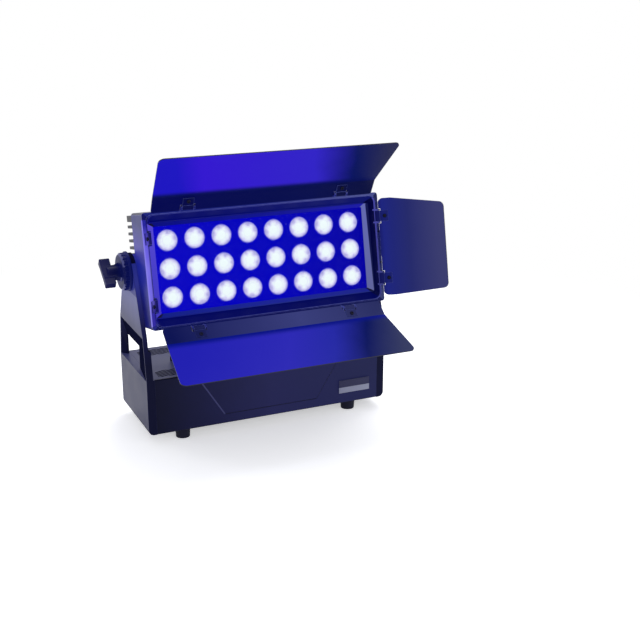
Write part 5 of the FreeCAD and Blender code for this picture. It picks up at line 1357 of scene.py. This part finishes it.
@dataclass
class LampHead:
    """The tilting head: housing, fins, lenses, plate, glass and frames."""

    rows: int = 3
    columns: int = 8
    pitch_mm: float = 40.0
    lens_radius_mm: float = 15.4
    lens_front_mm: float = -47.1
    lens_depth_mm: float = 20.0
    lens_foot_mm: float = 6.0
    mitre_mm: float = 97.0
    outside_mm: float = 178.5
    lip_mm: float = -72.0
    level_share: float = 0.97
    ring_middle: float = 0.66
    ring_half: float = 0.24
    ring_shade: float = 0.36
    rim_start: float = 0.68
    rim_width: float = 0.2
    rim_shade: float = 0.2
    edge_screws: ScrewKit = field(default_factory=lambda: ScrewKit(2.7, 1.7, 1.5))

    def build(self) -> None:
        """Builds and dresses the whole head."""
        dressed_copy("head_housing", HEAD_CAST, 0.8, self.light_side)
        dressed_copy("heatsink", FINS, 0.5)
        for node, finish, slot, edge, light in (
            ("front_bezel", HEAD_CAST, "head_casting", 0.6, self.light_bezel),
            ("glass_retainer", HEAD_CAST, "head_casting", 0.4, self.light_retainer),
            ("barn_door_frame", FRAME_PAINT, "black_paint", 0.6, self.light_frame),
        ):
            dressed_copy(node, finish, edge, light, self.cut_mitres)
        dressed_copy("head_cable_gland", GLAND, 0.4)
        out = HEAD.way(0, -1, 0)
        self.edge_screws.fit("bezel_screws", lambda c: out, BLACK_STEEL, "black_steel")
        for node, finish in {
            "door_frame_screws": BLACK_STEEL,
            "lens_plate": LENS_PLATE,
            "front_glass": GlassFinish(),
            "glass_seal": RUBBER,
            "led_board": LED_BOARD,
            "led_emitters": EMITTER,
            "pivot_inserts": STEEL,
            "hinge_pins": BLACK_STEEL,
        }.items():
            paint(node, finish)
        self.lenses()

    def lens_shape(self) -> bmesh.types.BMesh:
        """One lens with its front on the origin: dome, groove, pebbled ring and cone.

        Returns:
            The lens, with the tone of its light stored on its points.
        """
        edge = self.lens_radius_mm
        profile = [
            (0.0, -self.lens_depth_mm, 0.4),
            (self.lens_foot_mm, -self.lens_depth_mm, 0.4),
            (edge * 0.62, -self.lens_depth_mm * 0.55, 0.4),
            (edge - 1.2, -2.6, 0.2),
            (edge, -2.4, 0.1),
            (edge, -0.35, 0.18),
            (edge - 0.3, -0.1, 0.3),
            (edge - 1.0, -0.02, 0.62),
            (edge - 1.5, -0.5, 0.7),
            (edge * 0.76, -0.45, 0.86),
            (edge * 0.6, -0.4, 0.95),
            (edge * 0.5, -0.4, 1.0),
            (edge * 0.43, -0.8, 0.86),
            (edge * 0.36, -0.4, 1.2),
            (edge * 0.2, -0.12, 1.3),
            (0.0, -0.02, 1.3),
        ]
        shape = lathe([(r * MM, h * MM) for r, h, _ in profile], 32)
        layer = shape.verts.layers.float.new("tone")
        for vert in shape.verts:
            radius = vert.co.xy.length / MM
            height = vert.co.z / MM
            near = min(profile, key=lambda p: (p[0] - radius) ** 2 + (p[1] - height) ** 2)
            angle = math.atan2(vert.co.y, vert.co.x)
            ring = max(0.0, 1 - abs(radius / edge - self.ring_middle) / self.ring_half)
            # Two waves round the lens, of two and of three turns, meet in uneven facets.
            facets = 0.08 + max(0.0, math.cos(2 * angle) * math.cos(3 * angle + 0.7) + 0.15)
            rim = min(max((radius / edge - self.rim_start) / self.rim_width, 0.0), 1.0)
            if height <= -1:
                rim = 0.0
            vert[layer] = near[2] - self.ring_shade * ring * facets - self.rim_shade * rim
        return shape

    def lenses(self) -> None:
        """Sets the grid of lenses."""
        out = HEAD.way(0, -1, 0)
        places = []
        for row in range(self.rows):
            for column in range(self.columns):
                x = (column - (self.columns - 1) / 2) * self.pitch_mm
                z = (row - (self.rows - 1) / 2) * self.pitch_mm
                places.append((HEAD.point(x, self.lens_front_mm, z), out))
        made = Spreader("lens_field", LensFinish()).make(self.lens_shape(), places, math.tau, 5)
        settle(made, "head", ["lens_array"], 50)

    def cut_mitres(self, shape: bmesh.types.BMesh) -> None:
        """Cuts ring-shaped faces at the corners, so that each side has its own faces."""
        for x in (-1, 1):
            for z in (-1, 1):
                cut_faces(shape, HEAD.point(x * self.mitre_mm, 0, 0), HEAD.way(x, 0, -z))

    def light_side(self, mesh: bpy.types.Mesh) -> None:
        """Gives the head's outer sides the painted light of the doors."""
        (number,) = add_finishes(mesh, HEAD_SIDE_LIT)
        for polygon in mesh.polygons:
            outward = polygon.normal.x if polygon.center.x > 0 else -polygon.normal.x
            if outward > 0.9 and polygon.material_index in (0, 1):
                polygon.material_index = number

    def light_bezel(self, mesh: bpy.types.Mesh) -> None:
        """Gives each side of the bezel the light it shows."""
        inward = {
            Side.TOP: ("#000460", "#0E1464"),
            Side.BOTTOM: ("#000458", "#000450"),
            Side.LEFT: ("#0A0A70", "#0A0A70"),
            Side.RIGHT: ("#020536", "#000134"),
        }
        ahead = {side: ("#0B1460", "#0E1866") for side in Side}
        self._by_side(mesh, "bezel", inward, ahead)
        self.light_side(mesh)

    def light_retainer(self, mesh: bpy.types.Mesh) -> None:
        """Gives each side of the bevelled inner frame the light it shows."""
        inward = {
            Side.TOP: ("#03077A", "#0B0F8A", "#1C1AA6"),
            Side.BOTTOM: ("#0E1C80", "#182290", "#1A2286"),
            Side.LEFT: ("#3E36BA", "#463CC6", "#5849D0"),
            Side.RIGHT: ("#5F6398", "#6268A6", "#6268B0"),
        }
        ahead = {
            Side.TOP: ("#040A70", "#0A1278"),
            Side.BOTTOM: ("#061270", "#1A267E", "#1C2774"),
            Side.LEFT: ("#04037F", "#04037F"),
            Side.RIGHT: ("#1A2048", "#080C40", "#00023A"),
        }
        shade = Fold((-1.0, 0.0, -0.028), -175.4, 0.9, "#0C1048")
        self._by_side(mesh, "retainer", inward, ahead, {("inward", Side.RIGHT): shade})

    def light_frame(self, mesh: bpy.types.Mesh) -> None:
        """Gives each side of the door frame the light it shows."""
        inward = {
            Side.TOP: ("#020A60", "#020A60"),
            Side.BOTTOM: ("#10166A", "#262D76", "#343B80"),
            Side.LEFT: ("#15128A", "#15128A"),
            Side.RIGHT: ("#34377A", "#3B3A8C", "#4444A0"),
        }
        ahead = {
            Side.TOP: ("#1A2276", "#1E2676", "#484E88"),
            Side.BOTTOM: ("#0A1250", "#00044A", "#10164A"),
            Side.LEFT: ("#20247A", "#0C0F5C", "#0A0D58"),
            Side.RIGHT: ("#343A66", "#0E154C", "#1C204E"),
        }
        self._by_side(mesh, "mouth", inward, ahead)

    def _by_side(
        self,
        mesh: bpy.types.Mesh,
        name: str,
        inward: dict[Side, Sequence[str]],
        ahead: dict[Side, Sequence[str]],
        folds: dict[tuple[str, Side], Fold] | None = None,
    ) -> None:
        """Gives faces that look inward or straight ahead the painted light of their side.

        Args:
            mesh: The mesh whose faces are sorted.
            name: What the finishes are called.
            inward: Hex colours of the faces that look to the middle, for each side.
            ahead: Hex colours of the faces that look forward.
            folds: Shades along a side, by facing and side.
        """
        numbers = {}
        for way, table in (("inward", inward), ("ahead", ahead)):
            for side, codes in table.items():
                shade = folds.get((way, side)) if folds else None
                finish = frame_light(f"{name}_paint_{way}_{side.value}", side, codes, shade)
                (numbers[way, side],) = add_finishes(mesh, finish)
        for polygon in mesh.polygons:
            point = HEAD.back(polygon.center)
            normal = HEAD.facing(polygon.normal)
            if normal.y > 0.3 or (abs(point.x) > self.outside_mm and abs(normal.x) > 0.5):
                continue
            wide = abs(point.x) - self.mitre_mm > abs(point.z)
            toward = -point.x * normal.x if wide else -point.z * normal.z
            level = normal.y < -self.level_share
            if normal.y > -self.level_share and toward <= 0:
                continue
            if name == "mouth" and polygon.material_index == 1 and point.y < self.lip_mm:
                continue
            if wide:
                side = Side.RIGHT if point.x > 0 else Side.LEFT
            else:
                side = Side.TOP if point.z > 0 else Side.BOTTOM
            polygon.material_index = numbers["ahead" if level else "inward", side]


@dataclass
class BarnDoors:
    """The four bent leaves with their hinge clips and screws."""

    hinge_forward_mm: float = 78.0
    hinge_up_mm: float = 84.0
    hinge_out_mm: float = 174.5
    strip_mm: float = 22.0
    barrel_mm: float = 3.5
    barrel_slack_mm: float = 0.3
    swell_mm: float = 0.45
    screws: ScrewKit = field(default_factory=lambda: ScrewKit(3.0, 1.7, 1.6))

    def build(self) -> None:
        """Builds and dresses the four doors."""
        for side in Side:
            name = side.value
            dressed_copy(
                f"{name}_door", LEAF, 0.35, lambda m, s=side: self.light_leaf(m, s)
            )
            dressed_copy(
                f"{name}_door_clips",
                CLIP,
                0.25,
                lambda m, s=side: self.light_clip(m, s),
                lambda shape, s=side: self.swell_barrels(shape, s),
            )
            self.screws.fit(
                f"{name}_clip_screws", lambda c, s=side: -self._outward(s), BLACK_STEEL, "steel"
            )

    def swell_barrels(self, shape: bmesh.types.BMesh, side: Side) -> None:
        """Lets the coat thicken a door's barrels, so that they all but fill their notches."""
        hinge, axis = self._hinge(side)
        for vert in shape.verts:
            offset = self._square(HEAD.back(vert.co) - hinge, axis)
            if abs(offset.length - self.barrel_mm) < self.barrel_slack_mm:
                vert.co += HEAD.way(*offset.normalized()) * self.swell_mm * MM

    @staticmethod
    def _square(offset: Vector, axis: Vector) -> Vector:
        """What is left of an offset square to an axis."""
        return offset - axis * offset.dot(axis)

    def _hinge(self, side: Side) -> tuple[Vector, Vector]:
        """A point of a door's hinge and the hinge's direction, in the head's frame."""
        y = -self.hinge_forward_mm
        if side in (Side.TOP, Side.BOTTOM):
            up = self.hinge_up_mm if side is Side.TOP else -self.hinge_up_mm
            return Vector((0, y, up)), Vector((1, 0, 0))
        out = self.hinge_out_mm if side is Side.RIGHT else -self.hinge_out_mm
        return Vector((out, y, 0)), Vector((0, 0, 1))

    def _leaf_way(self, side: Side) -> Vector:
        """The way that a leaf's strip runs from its hinge, in the head's frame."""
        hinge, axis = self._hinge(side)
        total, count = Vector((0, 0, 0)), 0
        for vert in cad_node(f"{side.value}_door").data.vertices:
            offset = self._square(HEAD.back(vert.co) - hinge, axis)
            if offset.length < self.strip_mm:
                total += offset
                count += 1
        return (total / max(count, 1)).normalized()

    def _outward(self, side: Side) -> Vector:
        """The way that a leaf's outer face looks at its strip, in the row frame."""
        hinge, axis = self._hinge(side)
        normal = self._leaf_way(side).cross(axis).normalized()
        if normal.dot(Vector((hinge.x, 0, hinge.z))) < 0:
            normal.negate()
        return HEAD.way(*normal)

    def _fold(self, side: Side) -> tuple[tuple[float, float, float], float]:
        """The way that a leaf's flap runs from its fold, and the fold's place along it."""
        hinge, axis = self._hinge(side)
        fold = hinge + self._leaf_way(side) * self.strip_mm
        total = Vector((0, 0, 0))
        for vert in cad_node(f"{side.value}_door").data.vertices:
            offset = self._square(HEAD.back(vert.co) - fold, axis)
            if offset.length > 2 * self.strip_mm:
                total += offset.normalized()
        way = HEAD.way(*total.normalized())
        return tuple(way), HEAD.point(*fold).dot(way) / MM

    def _runs(self, side: Side) -> tuple[Spill, Spill]:
        """The light on a leaf's flap and on its strip."""
        way, start = self._fold(side)
        if side is Side.TOP:
            flap = Spill((1, -0.4, 0), -136, 214, TOP_RUN, 1.0, Fold(way, start, 12, "#010A50"))
            codes = ((0.0, "#00034E"), (0.7, "#00084A"), (1.0, "#080E38"))
            return flap, Spill(ACROSS, -175, 175, codes, 0.9)
        if side is Side.BOTTOM:
            fold = Fold(way, start, 13, "#020F80")
            flap = Spill((1, -0.44, 0), -119, 241, BOTTOM_RUN, 1.0, fold)
            codes = ((0.05, "#0A1250"), (0.6, "#393E7A"), (1.0, "#262B5C"))
            return flap, Spill(ACROSS, -175, 175, codes, 0.95)
        if side is Side.LEFT:
            out = HEAD.way(*self._leaf_way(side))
            hinge = HEAD.point(*self._hinge(side)[0]).dot(out) / MM
            shade = Fold(tuple(out), hinge + 1, 9, "#0C0A66")
            strip = Spill(UP, 200, 325, LEFT_RUN, fold=shade)
            return Spill((0, -1, 0), 63, 188, ((0.0, "#6254DA"), (1.0, "#8881E4"))), strip
        both = Spill(ACROSS, 174, 234, RIGHT_RUN)
        return both, both

    def light_leaf(self, mesh: bpy.types.Mesh, side: Side) -> None:
        """Gives the inner faces of a leaf the light of the lenses.

        Args:
            mesh: The leaf's mesh.
            side: Which leaf it is.
        """
        lit = zip(("leaf", "strip"), self._runs(side))
        finishes = [leaf_light(f"{side.value}_{part}_coat_lit", run) for part, run in lit]
        flap, strip = add_finishes(mesh, *finishes)
        hinge, axis = self._hinge(side)
        outward = HEAD.facing(self._outward(side))
        # The left leaf is seen along its edge, so its edges show the light as well.
        limit = 0.3 if side is Side.LEFT else -0.6
        for polygon in mesh.polygons:
            normal = HEAD.facing(polygon.normal)
            if normal.dot(outward) > limit:
                continue
            offset = self._square(HEAD.back(polygon.center) - hinge, axis)
            polygon.material_index = strip if offset.length < self.strip_mm else flap

    def light_clip(self, mesh: bpy.types.Mesh, side: Side) -> None:
        """Gives the inner faces of a door's clips the light that its strip shows."""
        _, strip_run = self._runs(side)
        finish = leaf_light(f"{side.value}_clip_coat_lit", replace(strip_run, strength=0.7))
        (number,) = add_finishes(mesh, finish)
        for polygon in mesh.polygons:
            if polygon.normal.dot(self._outward(side)) < -0.6 and polygon.material_index == 0:
                polygon.material_index = number


@dataclass
class Studio:
    """Pale floor, soft lamps, white surroundings and the camera."""

    target: tuple[float, float, float] = (0.11184, 0.0, 0.12904)
    azimuth_degrees: float = -24.68
    elevation_degrees: float = 17.76
    roll_degrees: float = 0.08
    distance: float = 1.70633
    lens_mm: float = 61.59
    sensor_mm: float = 36.0
    fill: float = 0.55
    floor_half: float = 6.0
    floor_lift: float = 0.5
    shadow_reach: float = 0.5

    def build(self) -> None:
        """Builds the surroundings."""
        bpy.context.scene.view_settings.view_transform = "Standard"
        self.camera()
        self.world()
        self.floor()
        self.lamp("left_lamp", (-1.7, 2.0, 0.5), 0.9, 24)
        self.lamp("top_lamp", (0.9, 0.9, 2.4), 2.0, 40)
        self.lamp("front_lamp", (1.2, -2.2, 1.8), 1.6, 12)

    def camera(self) -> None:
        """Sets the camera at the photograph's angle."""
        a, e = math.radians(self.azimuth_degrees), math.radians(self.elevation_degrees)
        back = Vector((math.sin(a) * math.cos(e), -math.cos(a) * math.cos(e), math.sin(e)))
        lens = bpy.data.cameras.new("camera")
        lens.lens = self.lens_mm
        lens.sensor_width = self.sensor_mm
        camera = bpy.data.objects.new("camera", lens)
        camera.location = Vector(self.target) + back * self.distance
        turn = (-back).to_track_quat("-Z", "Y").to_matrix().to_4x4()
        roll = Matrix.Rotation(math.radians(self.roll_degrees), 4, "Z")
        camera.rotation_euler = (turn @ roll).to_euler()
        bpy.context.scene.collection.objects.link(camera)
        bpy.context.scene.camera = camera

    def _seen(self, tree: bpy.types.NodeTree) -> bpy.types.NodeSocket:
        """The share that is 1 for the eye, for gloss and through glass, and else 0."""
        path = add_node(tree, "ShaderNodeLightPath")
        seen = path.outputs["Is Camera Ray"]
        for name in ("Is Glossy Ray", "Is Transmission Ray"):
            seen = add_node(
                tree, "ShaderNodeMath", {0: seen, 1: path.outputs[name]}, operation="MAXIMUM"
            ).outputs["Value"]
        return seen

    def world(self) -> None:
        """Sets white surroundings for the eye and for gloss, and a softer fill."""
        world = bpy.data.worlds.new("studio")
        world.use_nodes = True
        bpy.context.scene.world = world
        tree = world.node_tree
        tree.nodes.clear()
        white = add_node(tree, "ShaderNodeBackground", {"Color": srgb("#FFFFFF"), "Strength": 1.0})
        fill = add_node(
            tree, "ShaderNodeBackground", {"Color": srgb("#F4F5FF"), "Strength": self.fill}
        )
        mixed = add_node(
            tree,
            "ShaderNodeMixShader",
            {0: self._seen(tree), 1: fill.outputs[0], 2: white.outputs[0]},
        )
        add_node(tree, "ShaderNodeOutputWorld", {"Surface": mixed.outputs[0]})

    def floor(self) -> None:
        """Lays the pale floor, which keeps the shadow near the object and is white far off."""
        shape = bmesh.new()
        bmesh.ops.create_grid(shape, x_segments=2, y_segments=2, size=self.floor_half)
        floor = new_piece("floor", shape)
        floor.data.materials.append(node_material("pale_floor", self._floor_coat))

    def _floor_coat(self, tree: bpy.types.NodeTree, skin: bpy.types.Node) -> None:
        """Adds the floor's matt coat, and the white that takes over far from the object."""
        skin.inputs["Base Color"].default_value = srgb("#F5F6F7")
        skin.inputs["Roughness"].default_value = 0.9
        skin.inputs["Specular IOR Level"].default_value = 0.1
        place = add_node(tree, "ShaderNodeTexCoord").outputs["Object"]
        reach = add_node(tree, "ShaderNodeVectorMath", {0: place}, operation="LENGTH")
        far = add_node(
            tree,
            "ShaderNodeMapRange",
            {
                "Value": reach.outputs["Value"],
                "From Min": self.shadow_reach,
                "From Max": self.shadow_reach * 2,
            },
            interpolation_type="SMOOTHSTEP",
        ).outputs["Result"]
        seen = self._seen(tree)
        lift = add_node(
            tree, "ShaderNodeMath", {0: seen, 1: self.floor_lift}, operation="MULTIPLY"
        )
        glow = add_node(
            tree,
            "ShaderNodeEmission",
            {"Color": srgb("#FFFFFF"), "Strength": lift.outputs["Value"]},
        )
        close = add_node(tree, "ShaderNodeAddShader", {0: skin.outputs[0], 1: glow.outputs[0]})
        white = add_node(tree, "ShaderNodeEmission", {"Color": srgb("#FFFFFF"), "Strength": 1.0})
        share = add_node(tree, "ShaderNodeMath", {0: far, 1: seen}, operation="MULTIPLY")
        mixed = add_node(
            tree,
            "ShaderNodeMixShader",
            {0: share.outputs["Value"], 1: close.outputs[0], 2: white.outputs[0]},
        )
        tree.links.new(mixed.outputs[0], tree.nodes["Material Output"].inputs["Surface"])

    def lamp(
        self, name: str, place: tuple[float, float, float], size: float, watts: float
    ) -> None:
        """Hangs one soft lamp that looks at the object.

        Args:
            name: Name of the lamp.
            place: Where it hangs.
            size: Width of its square face.
            watts: Its power.
        """
        light = bpy.data.lights.new(name, "AREA")
        light.size = size
        light.energy = watts
        lamp = bpy.data.objects.new(name, light)
        lamp.location = place
        way = Vector((0, 0, 0.2)) - Vector(place)
        lamp.rotation_euler = way.to_track_quat("-Z", "Y").to_euler()
        bpy.context.scene.collection.objects.link(lamp)


def main() -> None:
    """Builds the light from its sub-assemblies, in order."""
    logging.basicConfig(level=logging.INFO, format="%(message)s")
    for part in (BaseUnit(), Arms(), Knobs(), LampHead(), BarnDoors(), Studio()):
        LOG.info("%s", type(part).__name__)
        part.build()


if __name__ == "__main__":
    main()
